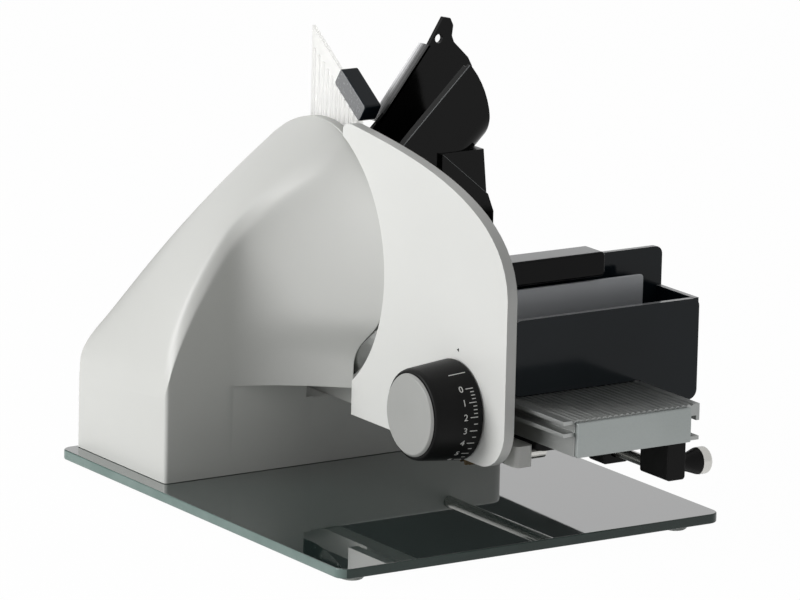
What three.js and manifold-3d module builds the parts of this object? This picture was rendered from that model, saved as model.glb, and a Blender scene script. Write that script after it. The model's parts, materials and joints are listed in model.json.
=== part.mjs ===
// Electric food slicer on a glass base: round blade, adjustable stop plate, sliding carriage.
// Millimetres, +Z up. X runs along the blade's axle, Y runs from the user's side to the back.
// The machine is modelled with z = 0 on top of the glass and is lifted onto its feet at the end.
import * as THREE from 'three';
import { mergeVertices } from 'three/addons/utils/BufferGeometryUtils.js';
import Module from 'manifold-3d';

const wasm = await Module();
wasm.setup();

// Driving dimensions: clearances
const seat = 0.3; // between pieces that rest on or in each other
const running = 0.4; // round a shaft or a sliding pin

// Driving dimensions: glass base and feet
const glassWidth = 270;
const glassDepth = 321;
const glassThick = 6;
const glassCorner = 8;
const footRadius = 8;
const footHeight = 6;
const footInset = 20;

// Driving dimensions: blade and its drive
const bladeRadius = 79;
const bladeY = 58.5;
const bladeClear = 8.5; // from the plinth's top to the blade's edge
const bladeThick = 3;
const bladeBack = -18.4; // the blade's left face
const bladeBevel = 9;
const wellGap = 1.2; // round the blade's edge in the housing
const hubRadius = 13;
const hubHeight = 1.2;
const spindleRadius = 6;
const bushRadius = 10;
const wheelModule = 2;
const wheelTeeth = 22;
const wheelWidth = 10;
const wheelX = -47.5;
const wormRadius = 7; // pitch radius
const wormLength = 23;
const wormShaftRadius = 4;
const toothShare = 0.34; // tooth thickness as a share of the pitch
const motorLength = 54;
const motorBoss = 6; // wall of the boss round the motor's shaft
const shaftSeat = 14; // how far the worm's shaft goes into the motor
const wormNose = 6; // shaft in front of the worm
const bearingThick = 4;
const bearingHalf = 8;

// Driving dimensions: housing
const housingLeft = -124;
const housingFace = -24; // the wall beside the blade
const plinthFront = 53.5;
const plinthRight = 125;
const plinthHeight = 42;
const endHeight = 52.6; // top edge of the left end wall
const wall = 3;
const cowlStart = -78.7; // where the front starts to bow forward
const bowPower = 1.5; // how softly it starts
const cowlGap = 2; // from the cowl's front edge to the stop plate's arc
const ledgeLow = 9.6; // front of the cowl's foot, at the lip
const ledgeHigh = 9.2; // front of the cowl's foot, under the ledge
const ledgeZ = 72;
const ledgeRise = 33;
const domeExtra = 1; // the dome's radius over the blade's
const domeShift = 4.5; // the dome's middle lies this far behind the blade's axle
const domeDrop = 0.6; // and this far below it
const rearMargin = 15; // from the dome to the back wall
const creaseGap = 1; // from the crease's upper end to the stop plate's arc
const creaseAngle = 63.8; // degrees above the horizontal, at the blade
const creasePower = 0.666; // how fast the front crease climbs
const archPower = 0.512; // how fast the rear arch climbs
const shoulder = 0.2; // how sharply the skin turns over the crease
const widthPower = 0.4; // how fast the rear narrows to the dome
const easeAngle = 60.4; // degrees from the crease to where the dome is round
const lipHeight = 55;
const lipRise = 2;
const lipDrop = 2.5; // the lip stays this far below the crease at the low end
const guardReach = 11; // the rim that covers the blade's edge at the back
const coverThick = 2;

// Worked out from the blade and the plinth
const bladeZ = plinthHeight + bladeClear + bladeRadius;
const domeRadius = bladeRadius + domeExtra; // it clears the blade because its middle lies further back
const domeY = bladeY + domeShift;
const domeZ = bladeZ - domeDrop;
const plinthBack = domeY + domeRadius + rearMargin;

// Driving dimensions: stop plate, dial and slide
const plateFace = -21; // left face of the closed plate
const plateThick = 7;
const plateGap = 9.5; // from the blade's radius to the plate's arc
const arcShift = 5; // the arc's middle lies this far behind the blade's axle
const arcLift = 2; // and this far above it
const plateFront = -156;
const plateBottom = 41.5;
const plateBack = 8;
const plateTipAngle = 63.2; // degrees above the horizontal, at the blade
const plateCrown = 8.5; // from the blade's top to the plate's, less the arc's lift
const plateCorner = 25;
const plateTravel = 20;
const dialY = -105;
const dialZ = 70;
const dialRadius = 30.3; // at the plate
const dialNarrow = 27.6; // at its free end
const dialLength = 31;
const dialCapRadius = 26;
const dialCapThick = 2;
const gearModule = 1.5;
const gearTeeth = 15;
const gearWidth = 4;
const screwRadius = 4;
const screwSpare = 16; // screw that stays in the arm when the plate is fully back
const pinRadius = 4;
const pinLength = 40;
const pinZ = 46.5;
const pinPlaces = [-60, -135];
const arcY = bladeY + arcShift;
const arcZ = bladeZ + arcLift;
const plateArc = bladeRadius + plateGap;
const plateTop = arcZ + bladeRadius + plateCrown;
const plateTipY = arcY - plateArc * Math.cos(THREE.MathUtils.degToRad(plateTipAngle));

// Driving dimensions: arm, guide rod and carriage
const armWidth = 12;
const armTop = 55.5;
const armFront = -151;
const armBack = 110;
const rodX = 82.5;
const rodZ = 36.5;
const rodRadius = 3.5;
const rodFront = -175;
const blockHalf = 6.5;
const blockNose = 10; // the end block reaches this far past the rod's end
const blockLength = 28;
const blockUnder = 4.5; // below the rod's middle
const blockClear = 1.2; // under the tray
const trayLeft = -5.5;
const trayRight = 91.5;
const trayFront = -194;
const trayLength = 184;
const trayBottom = 58;
const trayTop = 80;
const trayWall = 2.4;
const traySlot = 8;
const ribPitch = 4;
const ribDepth = 1;
const capThick = 3;
const shoeFront = -123.6;
const shoeLength = 16;
const shoeHalf = 9;
const shoeDrop = 8; // below the rod's middle
const padWidth = 22;
const padLength = 40;
const padThick = 5.6;
const padInset = 38; // from the tray's front end
const padCorner = 6;

// Driving dimensions: hand guard on the carriage
const guardLeft = 1;
const guardRight = 134;
const guardFront = -132;
const guardBack = -89;
const guardLow = 64;
const guardTop = 126;
const guardTall = 150;
const guardWall = 3.5;
const linerThick = 2;
const linerGap = 3; // from the liner's top to the grip
const linerRight = 110;
const gripRight = 79;
const gripRise = 6; // over the guard's back wall
const gripHeight = 15;
const gripDepth = 19;

// Driving dimensions: food chute and pusher
const chuteOverhang = 10; // from the tray's back end to the chute's middle
const chuteHalf = 21;
const chuteDepth = 45;
const chuteCorner = 13;
const chuteWall = 3;
const chuteSlope = 44; // degrees from the horizontal
const chuteMouthX = -11.5;
const chuteMouthTop = 206.4;
const chuteLength = 75;
const chuteEndRadius = 58.5; // the rounded upper end, seen from the side
const chuteEndX = -3;
const chuteEndZ = 216.5;
const tabHole = 2.8;
const lipDepth = 11; // flange on the far wall's edge
const lipThick = 2.5;
const legRight = 57.4;
const legLeft = 18;
const legHalf = 24;
const legStep = 2; // the front face below the diagonal stands out by this much
const pusherThick = 2.4;
const pusherX = -10.6;
const pusherStart = 8; // behind the chute's middle
const pusherLength = 68;
const pusherTop = 268;
const pusherNose = 11.7; // height of its front edge
const pusherGripLength = 34;
const pusherGripWide = 12.6;
const pusherGripStart = 12.9; // behind the plate's front edge
const pusherGripLift = 8.2; // over the plate's lower edge
const pusherGripThick = 12;

// Driving dimensions: small parts
const knobRadius = 8.2;
const knobWaist = 4.8;
const knobLength = 17.5;
const knobCapThick = 7;
const knobLift = 1.3; // above the rod's middle
const buttonRadius = 9;
const buttonReach = 3;
const buttonY = 105;
const buttonZ = 22;
const glandX = -92;
const glandZ = 20;
const glandRadius = 7;

// Helpers: solids and placing

const toSolid = (geometry) => {
  const bare = geometry.index ? geometry.toNonIndexed() : geometry.clone();
  bare.deleteAttribute('normal');
  bare.deleteAttribute('uv');
  const merged = mergeVertices(bare, 1e-4);
  return new wasm.Manifold(new wasm.Mesh({
    numProp: 3,
    vertProperties: new Float32Array(merged.attributes.position.array),
    triVerts: new Uint32Array(merged.index.array),
  }));
};

const toGeometry = (solid) => {
  const mesh = solid.getMesh();
  const geometry = new THREE.BufferGeometry();
  geometry.setAttribute('position', new THREE.BufferAttribute(new Float32Array(mesh.vertProperties), 3));
  geometry.setIndex(new THREE.BufferAttribute(new Uint32Array(mesh.triVerts), 1));
  geometry.computeVertexNormals();
  return geometry;
};

const box = (x0, x1, y0, y1, z0, z1) => {
  const geometry = new THREE.BoxGeometry(x1 - x0, y1 - y0, z1 - z0);
  return toSolid(geometry.translate((x0 + x1) / 2, (y0 + y1) / 2, (z0 + z1) / 2));
};

const shapeOf = (points) => new THREE.Shape(points.map(([u, v]) => new THREE.Vector2(u, v)));

const extrude = (shape, depth, segments = 8) => new THREE.ExtrudeGeometry(shape, {
  depth,
  bevelEnabled: false,
  curveSegments: segments,
});

// A profile drawn in Y and Z, swept along X from x0 to x1
const sweepX = (shape, x0, x1, segments) => {
  const turn = new THREE.Matrix4().set(0, 0, 1, x0, 1, 0, 0, 0, 0, 1, 0, 0, 0, 0, 0, 1);
  return toSolid(extrude(shape, x1 - x0, segments).applyMatrix4(turn));
};

// A profile drawn in X and Z, swept along Y from y0 to y1
const sweepY = (shape, y0, y1, segments) => {
  const turn = new THREE.Matrix4().set(1, 0, 0, 0, 0, 0, -1, y1, 0, 1, 0, 0, 0, 0, 0, 1);
  return toSolid(extrude(shape, y1 - y0, segments).applyMatrix4(turn));
};

// A profile drawn in X and Y, swept up from z0 to z1
const sweepZ = (shape, z0, z1, segments) => toSolid(extrude(shape, z1 - z0, segments).translate(0, 0, z0));

const rounded = (u0, u1, v0, v1, radius) => {
  const shape = new THREE.Shape();
  shape.moveTo(u0 + radius, v0);
  shape.lineTo(u1 - radius, v0);
  shape.absarc(u1 - radius, v0 + radius, radius, -Math.PI / 2, 0);
  shape.lineTo(u1, v1 - radius);
  shape.absarc(u1 - radius, v1 - radius, radius, 0, Math.PI / 2);
  shape.lineTo(u0 + radius, v1);
  shape.absarc(u0 + radius, v1 - radius, radius, Math.PI / 2, Math.PI);
  shape.lineTo(u0, v0 + radius);
  shape.absarc(u0 + radius, v0 + radius, radius, Math.PI, Math.PI * 1.5);
  return shape;
};

// A turned piece: profile points are [radius, place along the axle]
const lathe = (profile, segments) => {
  const points = profile.map(([r, a]) => new THREE.Vector2(r, a));
  return new THREE.LatheGeometry(points, segments);
};
const turnedX = (profile, y, z, segments = 24) => {
  return toSolid(lathe(profile, segments).rotateZ(-Math.PI / 2).translate(0, y, z));
};
const turnedY = (profile, x, z, segments = 24) => toSolid(lathe(profile, segments).translate(x, 0, z));
const turnedZ = (profile, x, y, segments = 24) => {
  return toSolid(lathe(profile, segments).rotateX(Math.PI / 2).translate(x, y, 0));
};
const rodProfile = (radius, a0, a1) => [[0, a0], [radius, a0], [radius, a1], [0, a1]];
const rodAlongX = (radius, x0, x1, y, z, segments) => turnedX(rodProfile(radius, x0, x1), y, z, segments);
const rodAlongY = (radius, y0, y1, x, z, segments) => turnedY(rodProfile(radius, y0, y1), x, z, segments);
const rodAlongZ = (radius, z0, z1, x, y, segments) => turnedZ(rodProfile(radius, z0, z1), x, y, segments);

const ease = (t) => t * t * (3 - 2 * t);
const radians = THREE.MathUtils.degToRad;
const mix = THREE.MathUtils.lerp;
const clamp = THREE.MathUtils.clamp;

// Toothed wheel outline with straight-sided teeth, the first tooth centred on the given angle
const toothedShape = (module, teeth, startAngle) => {
  const pitchRadius = module * teeth / 2;
  const tip = pitchRadius + module * 0.8;
  const root = pitchRadius - module * 1.15;
  const pitchAngle = 2 * Math.PI / teeth;
  const points = [];
  for (let i = 0; i < teeth; i += 1) {
    const middle = startAngle + i * pitchAngle;
    const half = pitchAngle * toothShare / 2;
    const corners = [[root, -1.6 * half], [tip, -0.62 * half], [tip, 0.62 * half], [root, 1.6 * half]];
    for (const [r, a] of corners) points.push([r * Math.cos(middle + a), r * Math.sin(middle + a)]);
  }
  return shapeOf(points);
};

// Materials
const finish = (color, roughness, metalness, extra = {}) => {
  return new THREE.MeshStandardMaterial({ color, roughness, metalness, ...extra });
};
const paint = finish(0xd9d9d4, 0.35, 0.2);
const glass = finish(0x7d9490, 0.05, 0, { transparent: true, opacity: 0.6 });
const rubber = finish(0xd8dad6, 0.7, 0);
const steel = finish(0xb8bab8, 0.25, 1);
const aluminium = finish(0xa9aca8, 0.45, 0.9);
const black = finish(0x1c1f21, 0.35, 0);
const grey = finish(0xb9bcbc, 0.4, 0);
const brass = finish(0xb48a3c, 0.35, 1);
const clear = finish(0xf1f1ea, 0.3, 0);
const nylon = finish(0xe2ddc8, 0.6, 0);

// The group is lifted onto the feet, with the origin under the middle of the footprint
const frontReach = trayFront - capThick - seat;
const machine = new THREE.Group();
machine.position.set(0, -(frontReach + glassDepth / 2) / 2, footHeight + glassThick);

const add = (name, solid, material) => {
  const mesh = new THREE.Mesh(toGeometry(solid), material);
  mesh.name = name;
  machine.add(mesh);
};

// Glass base and feet

add('glass_base', sweepZ(
  rounded(-glassWidth / 2, glassWidth / 2, -glassDepth / 2, glassDepth / 2, glassCorner), -glassThick, 0, 5,
), glass);

for (const [side, sx] of [['left', -1], ['right', 1]]) {
  for (const [end, sy] of [['front', -1], ['rear', 1]]) {
    const x = sx * (glassWidth / 2 - footInset);
    const y = sy * (glassDepth / 2 - footInset);
    const low = -glassThick - footHeight;
    const profile = [[0, low], [footRadius * 0.8, low], [footRadius, low + 2], [footRadius, -glassThick],
      [0, -glassThick]];
    add(`foot_${end}_${side}`, turnedZ(profile, x, y, 24), rubber);
  }
}

// Housing: sections across X, each a closed outline in Y and Z

const creaseRadius = plateArc - creaseGap;
const creaseTopY = arcY - creaseRadius * Math.cos(radians(creaseAngle));
const creaseTopZ = arcZ + creaseRadius * Math.sin(radians(creaseAngle));
const cowlRadius = plateArc - cowlGap;

// Front edge of the cowl at the blade, for a height z: a sloping foot, a ledge, then an arc up to the crease
const cowlEdge = (z) => {
  const lift = clamp((z - arcZ - 50) / (creaseTopZ - arcZ - 50), 0, 1);
  const radius = mix(cowlRadius, creaseRadius, ease(lift));
  const round = arcY - Math.sqrt(Math.max(radius * radius - (z - arcZ) ** 2, 0));
  const footTop = lipHeight + lipRise;
  const foot = mix(ledgeLow, ledgeHigh, clamp((z - footTop) / (ledgeZ - footTop), 0, 1));
  return mix(foot, round, ease(clamp((z - ledgeZ) / ledgeRise, 0, 1)));
};

// The dome's outline beside the blade, from the crease (0) over the top to the back (1)
const domeEdge = (share) => {
  const startAngle = Math.atan2(creaseTopZ - domeZ, creaseTopY - domeY);
  const startRadius = Math.hypot(creaseTopZ - domeZ, creaseTopY - domeY);
  const angle = startAngle * (1 - share);
  const eased = ease(clamp((startAngle - angle) / radians(easeAngle), 0, 1));
  const radius = mix(startRadius, domeRadius, eased);
  return [domeY + radius * Math.cos(angle), domeZ + radius * Math.sin(angle)];
};

const archSteps = 14;
const frontSteps = 11;

const housingSection = (x, inset) => {
  const along = (x - housingLeft) / (housingFace - housingLeft);
  const bow = clamp((x - cowlStart) / (housingFace - cowlStart), 0, 1) ** bowPower;
  const creaseZ = endHeight + (creaseTopZ - endHeight) * along ** creasePower - inset;
  const lip = Math.min(lipHeight + lipRise * bow, creaseZ - lipDrop);
  const rearY = plinthBack - inset;
  const points = [[rearY, 0], [plinthFront + inset, 0], [plinthFront + inset, lip - 0.6 - inset * 0.2]];
  for (let i = 0; i < frontSteps; i += 1) {
    const z = mix(lip + inset, creaseZ, i / frontSteps);
    points.push([mix(plinthFront, cowlEdge(z), bow) + inset, z]);
  }
  for (let i = 0; i <= archSteps; i += 1) {
    const share = i / archSteps;
    const [edgeY, edgeZ] = domeEdge(share);
    const narrow = mix(bow, along ** widthPower, clamp(share / 0.35, 0, 1));
    const power = mix(creasePower, archPower, share ** shoulder);
    const y = mix(mix(plinthFront, plinthBack, share), edgeY, narrow);
    const z = endHeight + (edgeZ - endHeight) * along ** power;
    points.push([y + inset * (1 - 2 * share), z - inset]);
  }
  points.push([rearY, plinthHeight - inset]);
  return points.reverse().map(([y, z]) => new THREE.Vector3(x, y, z));
};

// Closed solid through a row of sections with the same number of points
const loft = (sections) => {
  const count = sections[0].length;
  const positions = sections.flat().flatMap((p) => [p.x, p.y, p.z]);
  const index = [];
  for (let s = 0; s + 1 < sections.length; s += 1) {
    for (let i = 0; i < count; i += 1) {
      const a = s * count + i;
      const b = s * count + (i + 1) % count;
      index.push(a, b, b + count, a, b + count, a + count);
    }
  }
  const capAt = (section, offset, flip) => {
    const flat = section.map((p) => new THREE.Vector2(p.y, p.z));
    for (const [a, b, c] of THREE.ShapeUtils.triangulateShape(flat, [])) {
      index.push(offset + a, offset + (flip ? c : b), offset + (flip ? b : c));
    }
  };
  capAt(sections[0], 0, true);
  capAt(sections.at(-1), (sections.length - 1) * count, false);
  const geometry = new THREE.BufferGeometry();
  geometry.setAttribute('position', new THREE.Float32BufferAttribute(positions, 3));
  geometry.setIndex(index);
  return toSolid(geometry);
};

const stations = (x0, x1, count) => {
  return Array.from({ length: count + 1 }, (_, i) => mix(x0, x1, (i / count) ** 1.35));
};

const dome = loft(stations(housingLeft, housingFace, 18).map((x) => housingSection(x, 0)));
const domeHollow = loft(
  stations(housingLeft + wall, housingFace - wall, 8).map((x) => housingSection(x, wall)),
);

const blockShape = rounded(housingFace - 20, plinthRight, plinthFront, plinthBack, 10);
const plinth = sweepZ(blockShape, 0, plinthHeight, 4);
const plinthHollow = box(housingFace - wall - 1, plinthRight - wall, plinthFront + wall, plinthBack - wall,
  -1, plinthHeight - wall);

// Rim that covers the blade's edge from the top, over the back, to the bottom
const wellRadius = bladeRadius + wellGap;
const rimPoints = [];
for (let i = 0; i <= 24; i += 1) {
  const [y, z] = domeEdge(i / 24);
  if (y > plateTipY + creaseGap) rimPoints.push([y, z]);
}
for (let i = 1; i <= 8; i += 1) {
  const angle = -radians(60) * i / 8;
  rimPoints.push([domeY + domeRadius * Math.cos(angle), domeZ + domeRadius * Math.sin(angle)]);
}
const angleAt = ([y, z]) => Math.atan2(z - bladeZ, y - bladeY);
const rimLow = angleAt(rimPoints.at(-1));
const rimHigh = angleAt(rimPoints[0]);
for (let i = 0; i <= 24; i += 1) {
  const angle = mix(rimLow, rimHigh, i / 24);
  rimPoints.push([bladeY + wellRadius * Math.cos(angle), bladeZ + wellRadius * Math.sin(angle)]);
}
const rim = sweepX(shapeOf(rimPoints), housingFace - 1, housingFace + guardReach);
const bladeWell = rodAlongX(wellRadius, housingFace, housingFace + guardReach + 1, bladeY, bladeZ, 48);
const bushSeat = rodAlongX(bushRadius + seat, housingFace - wall - 1, housingFace + 1, bladeY, bladeZ);
const glandSeat = rodAlongY(glandRadius + seat, plinthBack - wall - 2, plinthBack + 2, glandX, glandZ);
const buttonSeat = rodAlongX(buttonRadius + running, plinthRight - wall - 2, plinthRight + 2, buttonY, buttonZ);
const rodSeat = rodAlongY(rodRadius + seat, plinthFront - 2, plinthFront + wall + 6, rodX, rodZ);

const housing = dome.add(plinth).add(rim)
  .subtract(domeHollow).subtract(plinthHollow)
  .subtract(bladeWell)
  .subtract(bushSeat).subtract(glandSeat).subtract(buttonSeat).subtract(rodSeat);
add('housing', housing.translate(0, 0, seat), paint);

const coverShape = rounded(housingLeft + wall + seat, plinthRight - wall - seat,
  plinthFront + wall + seat, plinthBack - wall - seat, 3);
add('bottom_cover', sweepZ(coverShape, seat, seat + coverThick, 3), black);

// Blade, spindle and worm drive

const bladeEdge = bladeBack + bladeThick;
const bladeProfile = [[spindleRadius + seat, bladeBack], [bladeRadius - bladeBevel, bladeBack],
  [bladeRadius, bladeEdge - 0.4], [bladeRadius, bladeEdge], [bladeRadius - bladeBevel * 2, bladeEdge],
  [bladeRadius - bladeBevel * 3, bladeEdge - 1], [spindleRadius + seat, bladeEdge - 1],
  [spindleRadius + seat, bladeBack]];
add('blade', turnedX(bladeProfile, bladeY, bladeZ, 60), steel);

const screwFace = bladeEdge - 1 + seat;
const hubProfile = [[0, screwFace], [hubRadius, screwFace], [hubRadius - 1, screwFace + hubHeight],
  [0, screwFace + hubHeight]];
const driverSlot = box(screwFace + 0.4, screwFace + 3, bladeY - 1, bladeY + 1, bladeZ - 9, bladeZ + 9);
add('blade_screw', turnedX(hubProfile, bladeY, bladeZ).subtract(driverSlot), steel);

const wheelLow = wheelX - wheelWidth / 2;
const wheelHigh = wheelX + wheelWidth / 2;
const spindleEnd = wheelLow - 6;
const collar = rodAlongX(hubRadius, housingFace + 2, bladeBack - seat, bladeY, bladeZ);
add('blade_spindle', rodAlongX(spindleRadius, spindleEnd, screwFace - seat, bladeY, bladeZ).add(collar), steel);

const bushProfile = [[spindleRadius + running, housingFace - wall - 5], [bushRadius + 4, housingFace - wall - 5],
  [bushRadius + 4, housingFace - wall - seat], [bushRadius, housingFace - wall - seat],
  [bushRadius, housingFace + 1], [spindleRadius + running, housingFace + 1],
  [spindleRadius + running, housingFace - wall - 5]];
add('spindle_bush', turnedX(bushProfile, bladeY, bladeZ), brass);

const wheelRadius = wheelModule * wheelTeeth / 2;
const wormPitch = Math.PI * wheelModule;
const leadAngle = Math.atan(wormPitch / (2 * Math.PI * wormRadius));
const wormZ = bladeZ - wheelRadius - wormRadius;

// Each layer of the wheel is turned a little, so that its teeth lean with the worm's thread
const wheelGap = Math.PI / wheelTeeth;
const toothLean = wheelWidth * Math.tan(leadAngle) / wheelRadius;
const wheelTurned = () => {
  const shape = toothedShape(wheelModule, wheelTeeth, -Math.PI / 2 + wheelGap);
  const geometry = new THREE.ExtrudeGeometry(shape, { depth: wheelWidth, steps: 4, bevelEnabled: false });
  const spots = geometry.attributes.position;
  for (let i = 0; i < spots.count; i += 1) {
    const turn = -(spots.getZ(i) / wheelWidth - 0.5) * toothLean;
    const u = spots.getX(i);
    const v = spots.getY(i);
    spots.setX(i, u * Math.cos(turn) - v * Math.sin(turn));
    spots.setY(i, u * Math.sin(turn) + v * Math.cos(turn));
  }
  const place = new THREE.Matrix4().set(0, 0, 1, wheelLow, 1, 0, 0, bladeY, 0, 1, 0, bladeZ, 0, 0, 0, 1);
  return toSolid(geometry.applyMatrix4(place));
};
const wheelBore = rodAlongX(spindleRadius + seat, wheelLow - 1, wheelHigh + 1, bladeY, bladeZ);
add('worm_wheel', wheelTurned().subtract(wheelBore), nylon);

// Worm: a core with one right-handed thread, built as rings whose radius follows the helix
const wormSolid = () => {
  const around = 14;
  const rings = 32;
  const y0 = bladeY - wormLength / 2;
  const positions = [];
  const index = [];
  const rootRadius = wormRadius - wheelModule * 1.1;
  const tipRadius = wormRadius + wheelModule * 0.8;
  for (let j = 0; j <= rings; j += 1) {
    const y = y0 + wormLength * j / rings;
    for (let i = 0; i < around; i += 1) {
      const angle = 2 * Math.PI * i / around;
      // phase 0 is the middle of the thread; straight up it lies on the wheel's middle gap
      const phase = (y - bladeY) / wormPitch - (angle - Math.PI / 2) / (2 * Math.PI);
      const offset = Math.abs(phase - Math.round(phase)) * wormPitch;
      const flank = clamp((offset - wormPitch * toothShare * 0.28) / (wormPitch * toothShare * 0.5), 0, 1);
      const radius = mix(tipRadius, rootRadius, flank);
      positions.push(wheelX + radius * Math.cos(angle), y, wormZ + radius * Math.sin(angle));
    }
  }
  for (let j = 0; j < rings; j += 1) {
    for (let i = 0; i < around; i += 1) {
      const a = j * around + i;
      const b = j * around + (i + 1) % around;
      index.push(a, b + around, b, a, a + around, b + around);
    }
  }
  const first = positions.length / 3;
  positions.push(wheelX, y0, wormZ, wheelX, y0 + wormLength, wormZ);
  const lastRing = rings * around;
  for (let i = 0; i < around; i += 1) {
    const next = (i + 1) % around;
    index.push(first, i, next, first + 1, lastRing + next, lastRing + i);
  }
  const geometry = new THREE.BufferGeometry();
  geometry.setAttribute('position', new THREE.Float32BufferAttribute(positions, 3));
  geometry.setIndex(index);
  return toSolid(geometry);
};

const motorRadius = housingFace - wall - seat - wheelX; // it lies against the wall beside the blade
const motorFront = bladeY + wormLength / 2 + 10;
const motorBack = motorFront + motorLength;
const wormFront = bladeY - wormLength / 2 - wormNose;
const wormShaft = rodAlongY(wormShaftRadius, wormFront, motorFront + shaftSeat, wheelX, wormZ);
add('motor_worm', wormSolid().add(wormShaft), steel);

const shaftEnd = motorFront + shaftSeat + seat;
const bossRadius = wormShaftRadius + motorBoss;
const motorProfile = [[0, shaftEnd], [wormShaftRadius + running, shaftEnd],
  [wormShaftRadius + running, motorFront], [bossRadius, motorFront], [bossRadius, motorFront + 3],
  [motorRadius - 3, motorFront + 3], [motorRadius, motorFront + 6], [motorRadius, motorBack - 10],
  [motorRadius - 4, motorBack - 10], [motorRadius - 4, motorBack], [0, motorBack]];
add('motor', turnedY(motorProfile, wheelX, wormZ), steel);

const bearingRight = housingFace - wall - seat;
const bearingLeft = wheelX - wormShaftRadius - running - 1;
const bearingFront = wormFront + 1.5;
const wormBearing = box(bearingLeft, bearingRight, bearingFront, bearingFront + bearingThick,
  wormZ - bearingHalf, wormZ + bearingHalf);
const wormBore = rodAlongY(wormShaftRadius + running, wormFront - 3, wormFront + 9, wheelX, wormZ);
add('worm_bearing', wormBearing.subtract(wormBore), brass);

// Stop plate, dial and their slide

const plateShape = () => {
  const shape = new THREE.Shape();
  const lowAngle = Math.acos((plateBack - arcY) / plateArc);
  const tipAngle = Math.acos((plateTipY - arcY) / plateArc);
  shape.moveTo(plateBack, plateBottom);
  shape.lineTo(plateBack, arcZ - plateArc * Math.sin(lowAngle));
  shape.absarc(arcY, arcZ, plateArc, -lowAngle, tipAngle - 2 * Math.PI, true);
  shape.lineTo(plateTipY, plateTop - 5);
  shape.quadraticCurveTo(plateTipY, plateTop, plateTipY - 10, plateTop);
  shape.bezierCurveTo(-60, plateTop - 7, plateFront + 4, plateTop - 19, plateFront, plateTop - 73);
  shape.lineTo(plateFront, plateBottom + plateCorner);
  shape.absarc(plateFront + plateCorner, plateBottom + plateCorner, plateCorner, Math.PI, Math.PI * 1.5, false);
  shape.lineTo(plateBack, plateBottom);
  return shape;
};
const plateRight = plateFace + plateThick;
const dialBore = rodAlongX(screwRadius + running, plateFace - 1, plateRight + 1, dialY, dialZ);
const gearRadius = gearModule * gearTeeth / 2;
const screwZ = dialZ - 2 * gearRadius;
const screwSeat = rodAlongX(screwRadius + running, plateFace + 2, plateRight + 1, dialY, screwZ);
let plate = sweepX(plateShape(), plateFace, plateRight, 20).subtract(dialBore).subtract(screwSeat);
for (const y of pinPlaces) {
  plate = plate.subtract(rodAlongX(pinRadius + seat, plateFace + 2, plateRight + 1, y, pinZ));
}
add('stop_plate', plate, paint);

pinPlaces.forEach((y, i) => {
  const pin = rodAlongX(pinRadius, plateFace + 2 + seat, plateFace + 2 + seat + pinLength, y, pinZ);
  add(`guide_pin_${i + 1}`, pin, steel);
});

const dialRight = plateFace - seat;
const dialLeft = dialRight - dialLength;
const barrel = [[0, dialLeft], [dialCapRadius, dialLeft], [dialNarrow - 0.6, dialLeft + 1],
  [dialNarrow, dialLeft + 3], [dialRadius, dialRight - 1], [dialRadius - 1, dialRight], [0, dialRight]];
const stem = rodAlongX(screwRadius, dialRight - 1, plateRight + seat + gearWidth, dialY, dialZ);
add('dial', turnedX(barrel, dialY, dialZ, 48).add(stem), black);

const capProfile = [[0, dialLeft - dialCapThick], [dialCapRadius - 2.5, dialLeft - dialCapThick],
  [dialCapRadius - 1, dialLeft - seat], [0, dialLeft - seat]];
add('dial_cap', turnedX(capProfile, dialY, dialZ, 48), grey);

const gearPlace = (z, start) => {
  const shape = toothedShape(gearModule, gearTeeth, start);
  const x0 = plateRight + seat;
  return sweepX(shape, x0, x0 + gearWidth).translate(0, dialY, z);
};
const stemBore = rodAlongX(screwRadius + seat, plateRight - 1, plateRight + 9, dialY, dialZ);
add('dial_gear', gearPlace(dialZ, -Math.PI / 2).subtract(stemBore), nylon);
const screwEnd = plateRight + plateTravel + screwSpare;
add('slide_screw', rodAlongX(screwRadius, plateFace + 2 + seat, screwEnd, dialY, screwZ), steel);
const screwBore = rodAlongX(screwRadius + seat, plateRight - 1, plateRight + 9, dialY, screwZ);
add('screw_gear', gearPlace(screwZ, Math.PI / 2 + Math.PI / gearTeeth).subtract(screwBore), brass);

// Arm that carries the stop plate's slide and one side of the carriage

const armLeft = plateRight + 2 * seat + gearWidth + 1;
const armRight = armLeft + armWidth;
const armBottom = plinthHeight + 2 * seat; // it lies on the plinth
const arm = sweepZ(rounded(armLeft, armRight, armFront, armBack, 3), armBottom, armTop, 3);
let armSolid = arm;
for (const y of pinPlaces) {
  armSolid = armSolid.subtract(rodAlongX(pinRadius + running, armLeft - 1, armRight + 1, y, pinZ));
}
armSolid = armSolid.subtract(rodAlongX(screwRadius + running, armLeft - 1, armRight + 1, dialY, screwZ));
add('slide_arm', armSolid, paint);

// Guide rod, its end block and the lock knob

add('guide_rod', rodAlongY(rodRadius, rodFront, plinthFront + wall + 4, rodX, rodZ), steel);

const blockFront = rodFront - blockNose;
const blockBack = blockFront + blockLength;
const blockLow = rodZ - blockUnder;
const blockHigh = trayBottom - blockClear;
const blockRight = rodX + blockHalf;
const endBlock = sweepY(rounded(rodX - blockHalf, blockRight, blockLow, blockHigh, 2), blockFront, blockBack, 4)
  .subtract(rodAlongY(rodRadius + seat, rodFront - seat, blockBack + 1, rodX, rodZ));
add('rod_end_block', endBlock, black);

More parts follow.
